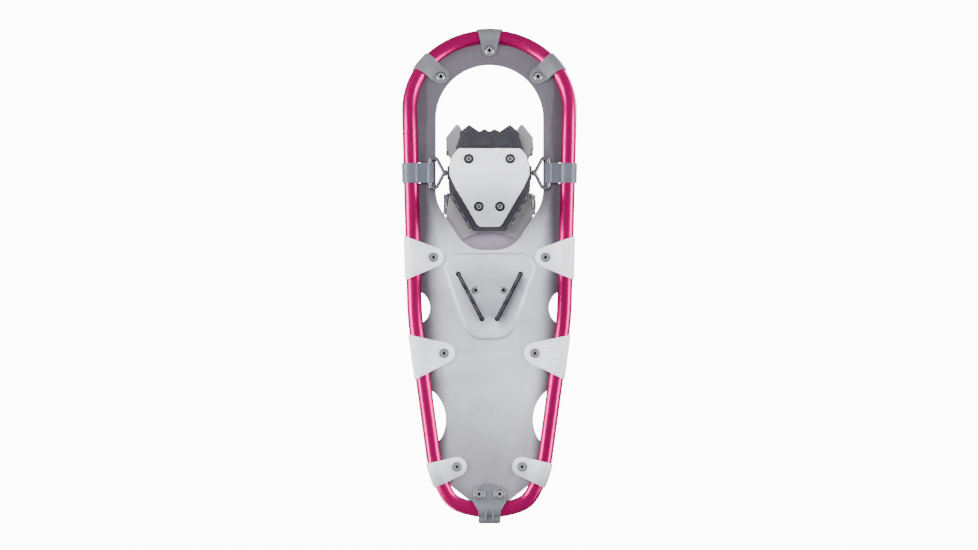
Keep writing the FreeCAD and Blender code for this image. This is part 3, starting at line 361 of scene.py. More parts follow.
def coated_steel(colour):
    """Dark coated crampon steel with an orange-peel surface and paler worn spots."""
    skin = Finish("coated_steel", Metallic=0.35, Roughness=0.42)
    z = skin.axes(skin.place())[2]
    peel = skin.noise(650.0, 2.0)
    scuff = skin.noise(120.0, 4.0, 0.7)
    tips = (1.0 - z.ramp(0.0, WORN_HEIGHT)) * 0.5
    mask = skin.node("ShaderNodeMath", {"operation": "ADD", "use_clamp": True},
                     {0: scuff.ramp(0.6, 0.75) * 0.35, 1: tips * scuff.ramp(0.4, 0.6)})
    skin.feed("Base Color", skin.blend(mask, rgb(colour), rgb(colour, 2.6)))
    skin.feed("Roughness", 0.36 + peel * 0.14)
    skin.bump(peel, 0.00008)
    return skin.material


def padding(colour):
    """Soft lining cloth: fine knit cells over a cloudy colour, with painted shade in each cell's hollow.
    """
    skin = Finish("lining_cloth", Roughness=0.85, Sheen_Weight=0.4, Sheen_Roughness=0.6)
    knit = skin.cells(620.0)
    cloud = skin.noise(60.0, 3.0)
    # painted shade in the knit's hollows and painted highlight on its raised edges, from the same cells
    # as the bump
    shade = knit.ramp(0.1, 0.7) * 0.6 + cloud * 0.4
    skin.feed("Base Color", skin.blend(shade, rgb(colour, 0.6), rgb(colour, 1.5)))
    skin.bump(knit, 0.0003)
    return skin.material


FINISHES = {}
# painted shade greys the ice plate towards its back, and the tail clips towards the tail
ICE_SHADE = (0.085, 0.15)                   # y in metres over which each white moulding greys
TAIL_SHADING = (-0.265, -0.225)


def make_finishes(look):
    """Every finish of the shoe, keyed by the record's slot or by its own name."""
    FINISHES.update({
        "magenta_tube": anodised(look.tube),
        "deck_sheet": deck_film(look.deck_pale, look.deck_shade_and_mottle),
        "white_clip": moulded("white_clip", look.white, 0.38, coat=0.1, spread=0.05),
        "hatched_clip": etched_white(look.white),
        "grey_clip": moulded("grey_clip", (0.12, 0.123, 0.135), 0.36),
        "dark_moulding": moulded("dark_moulding", (0.125, 0.13, 0.15), 0.42, coat=0.1),
        "rivet_metal": bright_metal("rivet_metal", (0.62, 0.62, 0.64), 0.24, 0.12),
        "webbing": woven("coated_webbing", (0.09, 0.1, 0.13), gloss=0.34, depth=0.00008),
        "bright_wire": bright_metal("bright_wire", (0.4, 0.4, 0.43), 0.3),
        "crampon_steel": coated_steel((0.05, 0.047, 0.058)),
        "bolt_steel": bright_metal("bolt_steel", (0.5, 0.5, 0.52), 0.26, 0.12),
        # ice plate and tail clips: white with painted shade, greyer towards the back; the tail clips'
        # greyer white is painted shade too
        "ice_plate_white": shaded_white("ice_plate_white", look.white, (0.56, 0.58, 0.62), *ICE_SHADE),
        "tail_white": shaded_white("tail_white", (0.78, 0.79, 0.83), (0.36, 0.37, 0.4), *TAIL_SHADING),
        "harness_grey": moulded("harness_grey", (0.2, 0.19, 0.2), 0.5, 500.0, 0.0001),
        "footbed_grey": moulded("footbed_grey", (0.22, 0.19, 0.25), 0.5, 420.0, 0.0002),
        "strap_dark": moulded("strap_dark", (0.035, 0.035, 0.042), 0.5, 600.0, 0.0001),
        "pad_foam": padding((0.07, 0.07, 0.085)),
        "buckle_plastic": moulded("buckle_plastic", (0.10, 0.10, 0.115), 0.36, coat=0.15),
        "aluminium_plug": bright_metal("aluminium_plug", (0.6, 0.6, 0.6), 0.35, 0.2),
        "black_rubber": moulded("black_rubber", (0.012, 0.012, 0.014), 0.6, 900.0, 0.00005),
        "thread": moulded("stitch_thread", (0.55, 0.56, 0.58), 0.7, 1500.0, 0.0001),
    })


# ---- surfaces ----
def surface(name, points, close_u=False, close_v=False, uv=None, cap=False):
    """Quad mesh on a grid of points (rows u, columns v); a closed way joins its last line to its first.
    The UV grid has one more line than the points in a closed way, so that the map isn't folded there."""
    rows, columns = points.shape[:2]
    u = np.arange(rows if close_u else rows - 1)
    v = np.arange(columns if close_v else columns - 1)
    u, v = [a.ravel() for a in np.meshgrid(u, v, indexing="ij")]
    u_next, v_next = (u + 1) % rows, (v + 1) % columns
    corners = [u * columns + v, u_next * columns + v, u_next * columns + v_next, u * columns + v_next]
    faces = np.stack(corners, 1).tolist()
    if cap:
        faces.append(list(range(columns)))
        faces.append(list(range((rows - 1) * columns, rows * columns))[::-1])
    mesh = bpy.data.meshes.new(name)
    mesh.from_pydata(points.reshape(-1, 3), [], faces)
    if uv is not None:
        layer = mesh.uv_layers.new(name="UVMap")
        flat = np.stack([uv[u, v], uv[u + 1, v], uv[u + 1, v + 1], uv[u, v + 1]], 1).reshape(-1, 2)
        whole = np.zeros((len(mesh.loops), 2), np.float32)
        whole[:len(flat)] = flat
        layer.data.foreach_set("uv", whole.ravel())
    mesh.polygons.foreach_set("use_smooth", np.ones(len(mesh.polygons), bool))
    return mesh


def outward(mesh, merge=False):
    """Recalculates a closed mesh's normals so that they point out of it; may first merge its poles."""
    work = bmesh.new()
    work.from_mesh(mesh)
    if merge:
        bmesh.ops.remove_doubles(work, verts=work.verts, dist=1e-7)
    bmesh.ops.recalc_face_normals(work, faces=work.faces)
    work.to_mesh(mesh)
    work.free()
    return mesh


def piece(name, mesh, body, slot, finish=None, replaces=()):
    """Adds a mesh as a piece that rides on a body and takes its finish."""
    made = bpy.data.objects.new(name, mesh)
    bpy.context.scene.collection.objects.link(made)
    mesh.materials.clear()
    mesh.materials.append(FINISHES[finish or slot])
    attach(made, body)
    if replaces:
        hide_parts(*replaces)
    return made


def joined(name, meshes):
    """One mesh from several."""
    work = bmesh.new()
    for mesh in meshes:
        work.from_mesh(mesh)
    whole = bpy.data.meshes.new(name)
    work.to_mesh(whole)
    work.free()
    return whole


SHARP_ANGLE = math.radians(32.0)
FLAT_ANGLE = math.radians(0.3)


def softened(node, width, finish=None, segments=2):
    """The CAD node's shape with merged corners and rounded sharp edges."""
    mesh = frame["nodes"][node].data.copy()
    work = bmesh.new()
    work.from_mesh(mesh)
    bmesh.ops.remove_doubles(work, verts=work.verts, dist=2e-6)
    bmesh.ops.dissolve_limit(work, angle_limit=FLAT_ANGLE, verts=work.verts, edges=work.edges)
    for face in work.faces:
        face.smooth = True
    work.to_mesh(mesh)
    work.free()
    made = piece(node + "_finished", mesh, BODY_OF[node], SLOT_OF[node], finish, [node])
    bevel = made.modifiers.new("rounded_edges", "BEVEL")
    bevel.width = width
    bevel.segments = segments
    bevel.limit_method = "ANGLE"
    bevel.angle_limit = SHARP_ANGLE
    bevel.harden_normals = True
    bevel.use_clamp_overlap = True
    return made


def dress(node):
    """Gives a CAD node that keeps its own shape its finish."""
    mesh = frame["nodes"][node].data
    mesh.materials.clear()
    mesh.materials.append(FINISHES[SLOT_OF[node]])


def unit(vectors):
    return vectors / np.linalg.norm(vectors, axis=-1, keepdims=True)


def tangents(path, closed=False):
    """Unit tangents of a polyline by central differences."""
    if closed:
        return unit(np.roll(path, -1, 0) - np.roll(path, 1, 0))
    return unit(np.gradient(path, axis=0))


def swept(path, profile, side, closed=False, lift=0.0):
    """Profile carried along a path: its x offsets go along side, made square to the path, and its
    y offsets, raised by lift, along side cross tangent."""
    along = tangents(path, closed)
    side = unit(side - np.sum(along * side, -1, keepdims=True) * along)
    top = np.cross(side, along)
    height = profile[None, :, 1] + lift
    return (path[:, None, :] + profile[None, :, 0, None] * side[:, None, :]
            + np.broadcast_to(height, (len(path), len(profile)))[..., None] * top[:, None, :])


def lengths(path):
    """Distance along a polyline at each of its points."""
    steps = np.linalg.norm(np.diff(path, axis=0), axis=1)
    return np.concatenate([[0.0], np.cumsum(steps)])


def circle(radius, count):
    """Profile of a round section: (cos, sin) of evenly spaced angles times the radius."""
    angle = np.linspace(0, 2 * math.pi, count, endpoint=False)
    return radius * np.stack([np.cos(angle), np.sin(angle)], 1)


def rounded_box(width, height, radius, steps=4):
    """Profile of a strap: a rectangle whose corners are quarter circles of the radius."""
    angle = np.linspace(0, math.pi / 2, steps + 1)
    corner = radius * np.stack([np.cos(angle), np.sin(angle)], 1)
    x, y = width / 2 - radius, height / 2 - radius
    turn = np.array([[0, -1], [1, 0]])
    quads = []
    for k, (cx, cy) in enumerate(((x, y), (-x, y), (-x, -y), (x, -y))):
        quads.append(corner @ np.linalg.matrix_power(turn, k).T + (cx, cy))
    return np.concatenate(quads)


def resampled(path, step):
    """The same polyline with points evenly spaced at about step."""
    run = lengths(path)
    count = max(3, int(run[-1] / step))
    at = np.linspace(0, run[-1], count)
    return np.stack([np.interp(at, run, path[:, k]) for k in range(3)], 1)


class Trail:
    """Polyline of tangent lines and arcs: each arc is centre + r (sin a heading - cos a side)."""

    def __init__(self, start, heading):
        self.points = [np.array([start], float)]
        self.heading = np.array(heading, float)

    def line(self, length):
        end = self.points[-1][-1] + self.heading * length
        self.points.append(end[None])

    def arc(self, side, radius, turn, steps=24):
        side = np.array(side, float)
        angle = np.linspace(0, math.radians(turn), steps + 1)[1:, None]
        start = self.points[-1][-1]
        turned = np.sin(angle) * self.heading - np.cos(angle) * side
        self.points.append(start + side * radius + radius * turned)
        last = math.radians(turn)
        self.heading = self.heading * math.cos(last) + side * math.sin(last)

    def path(self):
        return np.concatenate(self.points)


def mirrored(path):
    return path * (-1, 1, 1)


# ---- the tube's path, in millimetres ----
TUBE_R = 9.5
TUBE_Z = 38.0
TAIL_Y = -300.0
TOE_Y = 305.7
TAIL_ARCS = ((110.0, 20.0), (32.0, 40.0), (140.0, 22.3))
WAIST_Y = -75.0
WAIST_R = 400.0
TAPER_DEG, SIDE_DEG = 7.7, 1.5
TOE_RISE_DEG = 25.0
TOE_BEND_R = 150.0
SEAM_HALF = 0.25
PATH_STEP = 2.5

# ---- the hinge straps, in millimetres ----
PIVOT_Y = 131.0
PIVOT_Z = 32.5
RING_X = 75.5
WEB_W, WEB_T = 25.4, 1.9
LOOP_R = TUBE_R + 1.15    # middle of the webbing round the tube
EYE_R = 3.65              # and round the ring's wire
LAYER = 1.03              # and above or below the middle of its two layers
STITCH_Y = 9.0            # half width of the box stitching


def level_left(heading):
    return (-heading[1], heading[0], 0.0)


def tube_half():
    """Right half of the tube's centre line: three tail arcs, the taper, the waist, the side, then
    an upward bend and the toe arc in the plane that the bend turns to."""
    trail = Trail((0.0, TAIL_Y, TUBE_Z), (1.0, 0.0, 0.0))
    for radius, turn in TAIL_ARCS:
        trail.arc(level_left(trail.heading), radius, turn)
    trail.line((WAIST_Y - trail.points[-1][-1][1]) / math.cos(math.radians(TAPER_DEG)))
    trail.arc(level_left(trail.heading), WAIST_R, TAPER_DEG - SIDE_DEG)
    slope, run = math.radians(TOE_RISE_DEG), math.tan(math.radians(SIDE_DEG))
    lean = math.asin(math.sin(math.radians(SIDE_DEG)) * math.cos(slope))
    reach = TOE_BEND_R * math.sin(slope)
    arc = (1 + math.sin(lean)) / math.cos(lean) * math.cos(slope)
    x, y = trail.points[-1][-1][:2]
    bend_y = (TOE_Y - reach - arc * (x + run * (reach - y))) / (1 + arc * run)
    trail.line((bend_y - y) / math.cos(math.radians(SIDE_DEG)))
    trail.arc(UP, TOE_BEND_R, TOE_RISE_DEG)
    inward = unit(trail.heading * trail.heading[0] - (1.0, 0.0, 0.0))
    trail.arc(inward, trail.points[-1][-1][0] / math.cos(lean), 90 + math.degrees(lean), 72)
    return trail.path()


def ribbon(name, path, profile, side, closed=False, lift=0.0):
    """Profile carried along a path, with UV in metres: along the path, and round the profile."""
    points = swept(path, profile, side, closed, lift) * MM
    line = np.concatenate([path, path[:1]]) if closed else path
    ring = np.concatenate([profile, profile[:1]])
    u, v = np.meshgrid(lengths(line) * MM, lengths(ring) * MM, indexing="ij")
    return outward(surface(name, points, closed, True, np.stack([u, v], -1), cap=not closed))


def beads(name, centres, along, across, size, rings=7, segments=10):
    """Ellipsoids: centre + half sizes times (cos a) along, (sin a cos b) across, (sin a sin b) up."""
    a = np.linspace(0, math.pi, rings)[:, None]
    b = np.linspace(0, 2 * math.pi, segments, endpoint=False)[None, :]
    ball = np.stack([np.cos(a) + 0 * b, np.sin(a) * np.cos(b), np.sin(a) * np.sin(b)], -1) * size
    along, across = unit(np.array(along, float)), unit(np.array(across, float))
    axes = np.stack([along, across, np.cross(along, across)])
    meshes = [surface(name, (ball @ axes + centre) * MM, close_v=True)
              for centre in np.array(centres, float)]
    return outward(joined(name, meshes), merge=True)


def stitch_row(name, start, end, up, pitch, radius=0.42):
    """Row of raised thread: one ellipsoid for each stitch between two points."""
    start, end = np.array(start, float), np.array(end, float)
    count = max(1, int(np.linalg.norm(end - start) / pitch))
    at = (np.arange(count) + 0.5)[:, None] / count
    return beads(name, start + (end - start) * at, end - start, np.cross(up, end - start),
                 (pitch * 0.42, radius, radius))


def refined(profile, step):
    """A closed profile with extra points so that none are further apart than step."""
    made = []
    for first, last in zip(profile, np.roll(profile, -1, 0)):
        count = max(1, int(math.ceil(np.linalg.norm(last - first) / step)))
        made.append(first + (last - first) * (np.arange(count) / count)[:, None])
    return np.concatenate(made)


def relaxed(path, rounds, closed=True):
    """Corner cutting: every point becomes two, a quarter and three quarters along each side."""
    for _ in range(rounds):
        after = np.roll(path, -1, 0)
        cut = np.stack([path * 0.75 + after * 0.25, path * 0.25 + after * 0.75], 1).reshape(-1, 3)
        path = cut if closed else np.concatenate([path[:1], cut[1:-2], path[-1:]])
    return path


def build_tube(look):
    half = resampled(tube_half(), PATH_STEP)
    half[0, 0] = SEAM_HALF
    path = np.concatenate([half[:-1], mirrored(half)[::-1]])
    side = np.cross(tangents(path), UP)
    mesh = ribbon("tube_skin", path, circle(TUBE_R, 56), side)
    piece("tube_skin", mesh, "root", "magenta_tube", replaces=["frame_tube"])
    dress("frame_splice")


def hinge_loop(x_tube):
    """Middle line of one hinge strap: round the tube, along below it, round the ring's wire and back."""
    drop = PIVOT_Z - TUBE_Z
    a_low = math.asin((drop - LAYER) / LOOP_R)
    a_high = math.asin((drop + LAYER) / LOOP_R)
    swing = np.linspace(-math.pi - a_low, math.pi - a_high, 60)
    loop = np.stack([x_tube + LOOP_R * np.cos(swing), 0 * swing, TUBE_Z + LOOP_R * np.sin(swing)], 1)
    turn = math.asin(LAYER / EYE_R)
    swing = np.linspace(turn, 2 * math.pi - turn, 30)
    ring = np.stack([RING_X + EYE_R * np.cos(swing), 0 * swing, PIVOT_Z + EYE_R * np.sin(swing)], 1)
    run = np.linspace(loop[-1, 0] - 2.0, ring[0, 0] + 2.0, 6)
    high = np.stack([run, 0 * run, 0 * run + PIVOT_Z + LAYER], 1)
    low = np.stack([run[::-1], 0 * run, 0 * run + PIVOT_Z - LAYER], 1)
    return relaxed(np.concatenate([loop, high, ring, low]), 2)


def tube_x(y):
    half = tube_half()
    keep = half[:, 1] > WAIST_Y
    return float(np.interp(y, half[keep][:40, 1], half[keep][:40, 0]))


def build_hinges(look):
    """Two webbing straps with box stitching, and the bright rings they hold."""
    x_tube = tube_x(PIVOT_Y)
    for hand, sign in (("right", 1.0), ("left", -1.0)):
        path = hinge_loop(x_tube)
        path[:, 1] = PIVOT_Y
        lean = np.clip((path[:, 0] - RING_X - 8.0) / 12.0, 0, 1)
        side = unit(np.stack([np.sin(math.radians(SIDE_DEG)) * lean, 1 + 0 * lean, 0 * lean], 1))
        profile = refined(rounded_box(WEB_W, WEB_T, 0.7), 1.6)
        path, side = path * (sign, 1, 1), side * (sign, 1, 1)
        mesh = ribbon("hinge_webbing", path, profile, side, closed=True)
        piece("hinge_webbing_" + hand, mesh, "root", "webbing", replaces=["hinge_strap_" + hand])
        x0, x1 = sign * (RING_X + 5.0), sign * (x_tube - 10.5)
        y0, y1, z = PIVOT_Y - STITCH_Y, PIVOT_Y + STITCH_Y, PIVOT_Z + 2.0
        rows = [((x0, y0, z), (x1, y0, z)), ((x0, y1, z), (x1, y1, z)),
                ((x0, y0, z), (x0, y1, z)), ((x1, y0, z), (x1, y1, z))]
        threads = [stitch_row("threads", start, end, UP, look.stitch_pitch / MM) for start, end in rows]
        piece("hinge_stitching_" + hand, joined("threads", threads), "root", "webbing", "thread")
        softened("pivot_ring_" + hand, 0.2 * MM)
        softened("pivot_stem_head_" + hand, 0.5 * MM)


DECK_NEAR, DECK_AT = 10.4, 8.7   # deck points nearer to the tube's line than the first go to the second


def near_tube(mesh, within, to):
    """Moves the points of a mesh that lie within a distance of the tube's line to another distance."""
    line = resampled(tube_half(), PATH_STEP)
    line = np.concatenate([line, mirrored(line)])
    points = np.zeros(len(mesh.vertices) * 3, np.float32)
    mesh.vertices.foreach_get("co", points)
    points = points.reshape(-1, 3) / MM
    for index, point in enumerate(points):
        away = point - line[np.argmin(np.sum((line - point) ** 2, 1))]
        distance = np.linalg.norm(away)
        if distance < within:
            points[index] = point - away * (1 - to / distance)
    mesh.vertices.foreach_set("co", (points * MM).astype(np.float32).ravel())


DISH_HALF_X, DISH_Y = 0.064, (-0.092, 0.034)   # metres, just outside the dished heel triangle


def round_dish(mesh, width):
    """Rounds the rim and the foot of the dished heel triangle: its edges turn by 20 to 60 degrees."""
    work = bmesh.new()
    work.from_mesh(mesh)
    chosen = []
    for edge in work.edges:
        middle = (edge.verts[0].co + edge.verts[1].co) / 2
        inside = abs(middle.x) < DISH_HALF_X and DISH_Y[0] < middle.y < DISH_Y[1]
        if inside and len(edge.link_faces) == 2 and 20 < math.degrees(edge.calc_face_angle()) < 60:
            chosen.append(edge)
    bmesh.ops.bevel(work, geom=chosen, offset=width, segments=4, profile=0.5, affect="EDGES",
                    clamp_overlap=True)
    for face in work.faces:
        face.smooth = True
    work.to_mesh(mesh)
    work.free()


SOLE_Z = 46.0
FOOTBED_BARS = (44.0, 53.0, 62.0, 71.0, 106.0, 115.0, 124.0, 133.0, 168.0)   # y of each bar
WAIST_BARS_Y = 100.0      # bars in front of this are wider


def tread(name, body, height, rows):
    """Chevron bars on a sole: each row is (y of the middle, half length)."""
    bars = []
    for y, half in rows:
        back = y - half * 0.18
        line = np.array([(-half, back, height), (0, y, height), (half, back, height)])
        line = resampled(relaxed(line, 3, closed=False), 1.5)
        side = np.cross(tangents(line), UP)
        bars.append(ribbon("bar", line, circle(1.0, 14) * (1.5, 0.9), side))
    piece(name, joined(name, bars), body, "footbed_grey")


def build_deck(look):
    deck = softened("deck", 0.35 * MM)
    round_dish(deck.data, look.dish_rounding)
    near_tube(deck.data, DECK_NEAR, DECK_AT)
    softened("heel_pad", 1.6 * MM, segments=4)
    rows = [(y, 22.0 + (y + 70.0) * 0.09) for y in np.arange(-68.0, 14.0, 9.0)]
    tread("heel_pad_tread", "root", SOLE_Z, rows)


# the tail clips take the white with painted shade
CLIP_FINISH = {"rear_clip": "hatched_clip", "tail_clip": "tail_white"}


def build_fittings(look):
    for node in ("mid_clip", "rear_clip", "tail_clip", "toe_side_clip"):
        for hand in ("_left", "_right"):
            softened(node + hand, 0.5 * MM, CLIP_FINISH.get(node), segments=3)
    softened("toe_center_clip", 0.5 * MM, segments=3)
    softened("tail_bracket", 0.8 * MM, segments=3)
    for node in ("side_clip_rivets", "tail_clip_rivets", "toe_clip_rivets", "tail_rivets",
                 "tail_washers", "heel_crampon_rivets"):
        rings = WASHER_RINGS if node == "tail_washers" else RIVET_RINGS
        FINISHES[node] = ringed("ringed_" + node, node, (0.9, 0.9, 0.92), rings)
        softened(node, 0.3 * MM, node)


def build_crampons(look):
    softened("toe_crampon", 0.45 * MM)
    softened("heel_crampon", 0.35 * MM)
    softened("ice_plate", 0.5 * MM, segments=3)
    softened("binding_riser", 0.8 * MM, segments=3)
    FINISHES["bolts"] = ringed("ringed_bolts", "binding_bolts", (0.85, 0.85, 0.87), BOLT_RINGS)
    softened("binding_bolts", 0.25 * MM, "bolts")
    softened("binding_nuts", 0.25 * MM)
    softened("bolt_washers", 0.15 * MM, "black_rubber")


WALL_LEAN = math.radians(8.0)
WALL_X = 45.5
WALL_FOOT_Z = 40.0
WALL_T = 3.0
STRAP_T = 2.0
STRAP_GAP = 0.2
# each strap's start up its wall, straight length, bend radius and y, in millimetres
TOE_ARCH = (7.0, 27.0, 30.0, 165.0)
INSTEP_ARCH = (14.0, 43.0, 35.0, 91.0)
LADDER_PITCH = 4.0
CLOTH_FRAMES = 20
CHANNEL_X, CHANNEL_W, CHANNEL_DEPTH = 0.022, 0.0016, 0.0016   # sewn channels of the pad, metres


def arch(low, straight, radius, y):
    """Middle line of a strap over the boot: up the right wall, round, over the top and down the left."""
    depth = WALL_T + STRAP_GAP + STRAP_T / 2
    heading = (math.sin(WALL_LEAN), 0.0, math.cos(WALL_LEAN))
    start = (WALL_X + low * heading[0] + depth * heading[2], y,
             WALL_FOOT_Z + low * heading[2] - depth * heading[0])
    trail = Trail(start, heading)
    trail.line(straight)
    trail.arc((-heading[2], 0.0, heading[0]), radius + STRAP_GAP + STRAP_T / 2, 98.0, 48)
    half = trail.path()
    half = np.concatenate([half, [[0.0, y, half[-1, 2]]]])
    return resampled(np.concatenate([half, mirrored(half)[-2::-1]]), 0.5)


def ladder_strap(name, path, width, ladder):
    """Moulded strap: raised edges all along, and saw teeth on the ladder part of its length."""
    run = lengths(path)[:, None]
    profile = refined(rounded_box(width, STRAP_T, 0.7), 0.8)
    x, top = profile[None, :, 0], profile[None, :, 1] > STRAP_T / 2 - 0.05
    edges = 0.45 * np.exp(-((np.abs(x) - width / 2 + 3.0) / 0.9) ** 4)
    ends = 1 / (1 + np.exp((ladder[0] - run) * 2)) / (1 + np.exp((run - ladder[1]) * 2))
    teeth = 0.95 * ((run / LADDER_PITCH) % 1.0) * ends * np.exp(-(x / 5.5) ** 8)
    side = np.array([(0.0, 1.0, 0.0)])
    return ribbon(name, path, profile, side, lift=(edges + teeth) * top)


def swollen(node, voxel, pressure, cap):
    """Cloth pad from a CAD pad: remeshed, blown up with its outer face held, and limited to cap."""
    scene = bpy.context.scene
    made = bpy.data.objects.new("pad", frame["nodes"][node].data.copy())
    scene.collection.objects.link(made)
    remesh = made.modifiers.new("even", "REMESH")
    remesh.mode = "VOXEL"
    remesh.voxel_size = voxel
    view = bpy.context.evaluated_depsgraph_get()
    made.data = bpy.data.meshes.new_from_object(made.evaluated_get(view))
    made.modifiers.clear()
    rest = np.array([vertex.co for vertex in made.data.vertices])
    normal = np.array([vertex.normal for vertex in made.data.vertices])
    plan = unit(np.stack([rest[:, 0], np.minimum(rest[:, 1] + 0.05, 0.0), 0 * rest[:, 0]], 1))
    held = np.sum(plan * normal, 1) > 0.35
    group = made.vertex_groups.new(name="held")
    group.add([int(k) for k in np.nonzero(held)[0]], 1.0, "REPLACE")
    cloth = made.modifiers.new("swell", "CLOTH")
    cloth.settings.use_pressure = True
    cloth.settings.uniform_pressure_force = pressure
    cloth.settings.vertex_group_mass = "held"
    cloth.settings.effector_weights.gravity = 0.0
    cloth.point_cache.frame_end = CLOTH_FRAMES
    for number in range(1, CLOTH_FRAMES + 1):
        scene.frame_set(number)
    view = bpy.context.evaluated_depsgraph_get()
    mesh = bpy.data.meshes.new_from_object(made.evaluated_get(view))
    made.modifiers.clear()
    made.data = mesh
    moved = np.array([vertex.co for vertex in mesh.vertices]) - rest
    size = np.linalg.norm(moved, axis=1, keepdims=True)
    rest = rest + moved * np.minimum(1.0, cap / np.maximum(size, 1e-9))
    scene.frame_set(1)
    mesh = made.data
    across = np.abs(rest[:, 0])
    channels = np.exp(-((across - CHANNEL_X) / CHANNEL_W) ** 2) + np.exp(-(across / CHANNEL_W) ** 2)
    rest = rest - normal * (CHANNEL_DEPTH * channels * ~held)[:, None]
    mesh.vertices.foreach_set("co", rest.astype(np.float32).ravel())
    mesh.polygons.foreach_set("use_smooth", np.ones(len(mesh.polygons), bool))
    mesh.update()
    bpy.data.objects.remove(made)
    return mesh


def build_harness(look):
    """Base, footbed with its tread, the two moulded straps, and the heel strap with its soft pad."""
    softened("harness_base", 1.0 * MM, segments=3)
    softened("footbed", 0.8 * MM, segments=3)
    tread("footbed_tread", "binding", SOLE_Z,
          [(y, 30.0 if y > WAIST_BARS_Y else 26.0) for y in FOOTBED_BARS])
    softened("strap_rivets", 0.3 * MM)
    softened("heel_strap_pivots", 0.3 * MM)
    for name, shape, width in (("toe_strap", TOE_ARCH, 24.0), ("instep_strap", INSTEP_ARCH, 26.0)):
        path = arch(*shape)
        whole = lengths(path)[-1]
        mesh = ladder_strap(name, path, width, (whole / 2 + 12.0, whole - 26.0))
        piece(name + "_moulding", mesh, "binding", "strap_dark", replaces=[name])
    softened("heel_strap", 0.5 * MM)
    mesh = swollen("heel_strap_pad", 3.0 * MM, 4.0, look.cushion_swell)
    pad = piece("heel_cushion", mesh, "heel_strap", "pad_foam", replaces=["heel_strap_pad"])
    smooth = pad.modifiers.new("smooth", "SUBSURF")
    smooth.levels = smooth.render_levels = 1


def build_buckles(look):
    for name in ("toe", "instep", "heel"):
        softened(name + "_buckle_base", 0.5 * MM)
        softened(name + "_buckle_lever", 0.5 * MM, segments=3)
        softened(name + "_buckle_pin", 0.2 * MM)


def one_sided(name, colour, glow=0.0):
    """Stage material seen only from the side its normals point to."""
    skin = Finish(name, Base_Color=rgb(colour), Roughness=0.8)
    if glow:
        skin.shader.inputs["Emission Color"].default_value = rgb(colour)
        skin.shader.inputs["Emission Strength"].default_value = glow
    back = skin.node("ShaderNodeNewGeometry", {}, {}, "Backfacing")
    clear = skin.node("ShaderNodeBsdfTransparent", {}, {})
    front = Value(skin, skin.shader.outputs[0])
    both = skin.node("ShaderNodeMixShader", {}, {0: back, 1: front, 2: clear})
    skin.tree.links.new(both.socket, skin.output.inputs[0])
    return skin.material


def stage_sheet(name, height, facing, material):
    """Wide square that only the camera sees, facing up or down."""
    half = SHEET_HALF
    corners = np.array([[-half, -half, height], [half, -half, height], [half, half, height],
                        [-half, half, height]])
    mesh = bpy.data.meshes.new(name)
    mesh.from_pydata(corners[::facing], [], [(0, 1, 2, 3)])
    mesh.materials.append(material)
    made = bpy.data.objects.new(name, mesh)
    bpy.context.scene.collection.objects.link(made)
    for ray in ("visible_diffuse", "visible_glossy", "visible_transmission", "visible_shadow"):
        setattr(made, ray, False)


def area_light(name, place, aim, size, power, glossy):
    """Soft lamp, hidden from the camera; size is across and up; without glossy it isn't reflected."""
    lamp = bpy.data.lights.new(name, "AREA")
    lamp.shape = "RECTANGLE"
    lamp.size, lamp.size_y = size
    lamp.energy = power
    made = bpy.data.objects.new(name, lamp)
    made.location = place
    made.rotation_euler = (Vector(aim) - Vector(place)).to_track_quat("-Z", "Y").to_euler()
    made.visible_camera = False
    made.visible_glossy = glossy
    bpy.context.scene.collection.objects.link(made)


MIDDLE = (0.0, 0.0, 0.04)
BACKDROP_Z = 2.5
SHEET_HALF = 14.0
SENSOR_WIDTH = 36.0
AIM_OFFSET = 0.0006       # metres that the camera stands off the middle line
# name, place, size across and up, share of the lamp power, and whether it is reflected
LAMPS = (
    ("side_left", (1.5, 0.1, -0.45), (2.0, 0.45), 0.8, True),
    ("side_right", (-1.5, 0.1, -0.45), (2.0, 0.45), 0.7, True),
    ("below", (0.4, 0.7, -1.8), (0.8, 0.8), 0.95, False),
    ("above_left", (1.3, -1.3, 1.5), (1.3, 1.3), 1.0, True),
    ("above_right", (-1.4, 1.0, 1.7), (1.2, 1.2), 0.7, True),
)


def build_stage(look):
    scene = bpy.context.scene
    world = bpy.data.worlds.new("studio")
    world.use_nodes = True
    world.node_tree.nodes["Background"].inputs["Color"].default_value = (0.95, 0.96, 1.0, 1.0)
    world.node_tree.nodes["Background"].inputs["Strength"].default_value = look.ambient
    scene.world = world
    stage_sheet("floor", 0.0, 1, one_sided("pale_floor", (0.85, 0.85, 0.86)))
    backdrop = one_sided("pale_backdrop", (1.0, 1.0, 1.0), look.backdrop_glow)
    stage_sheet("backdrop", BACKDROP_Z, -1, backdrop)
    for name, place, size, share, glossy in LAMPS:
        area_light(name, place, MIDDLE, size, look.lamp_power * share, glossy)
    camera = bpy.data.cameras.new("camera")
    camera.lens = look.lens
    camera.sensor_width = SENSOR_WIDTH
    camera.clip_end = 100.0
    made = bpy.data.objects.new("camera", camera)
    far = look.field_width * look.lens / camera.sensor_width
    made.location = (AIM_OFFSET, AIM_OFFSET, TUBE_Z * MM - far)
    made.rotation_euler = (0.0, math.pi, 0.0)
    scene.collection.objects.link(made)
    scene.camera = made


# ---- the add-on ----
def colour(name, description, default):
    return bpy.props.FloatVectorProperty(name=name, description=description, default=default, size=3,
                                         min=0.0, max=1.0, subtype="COLOR")


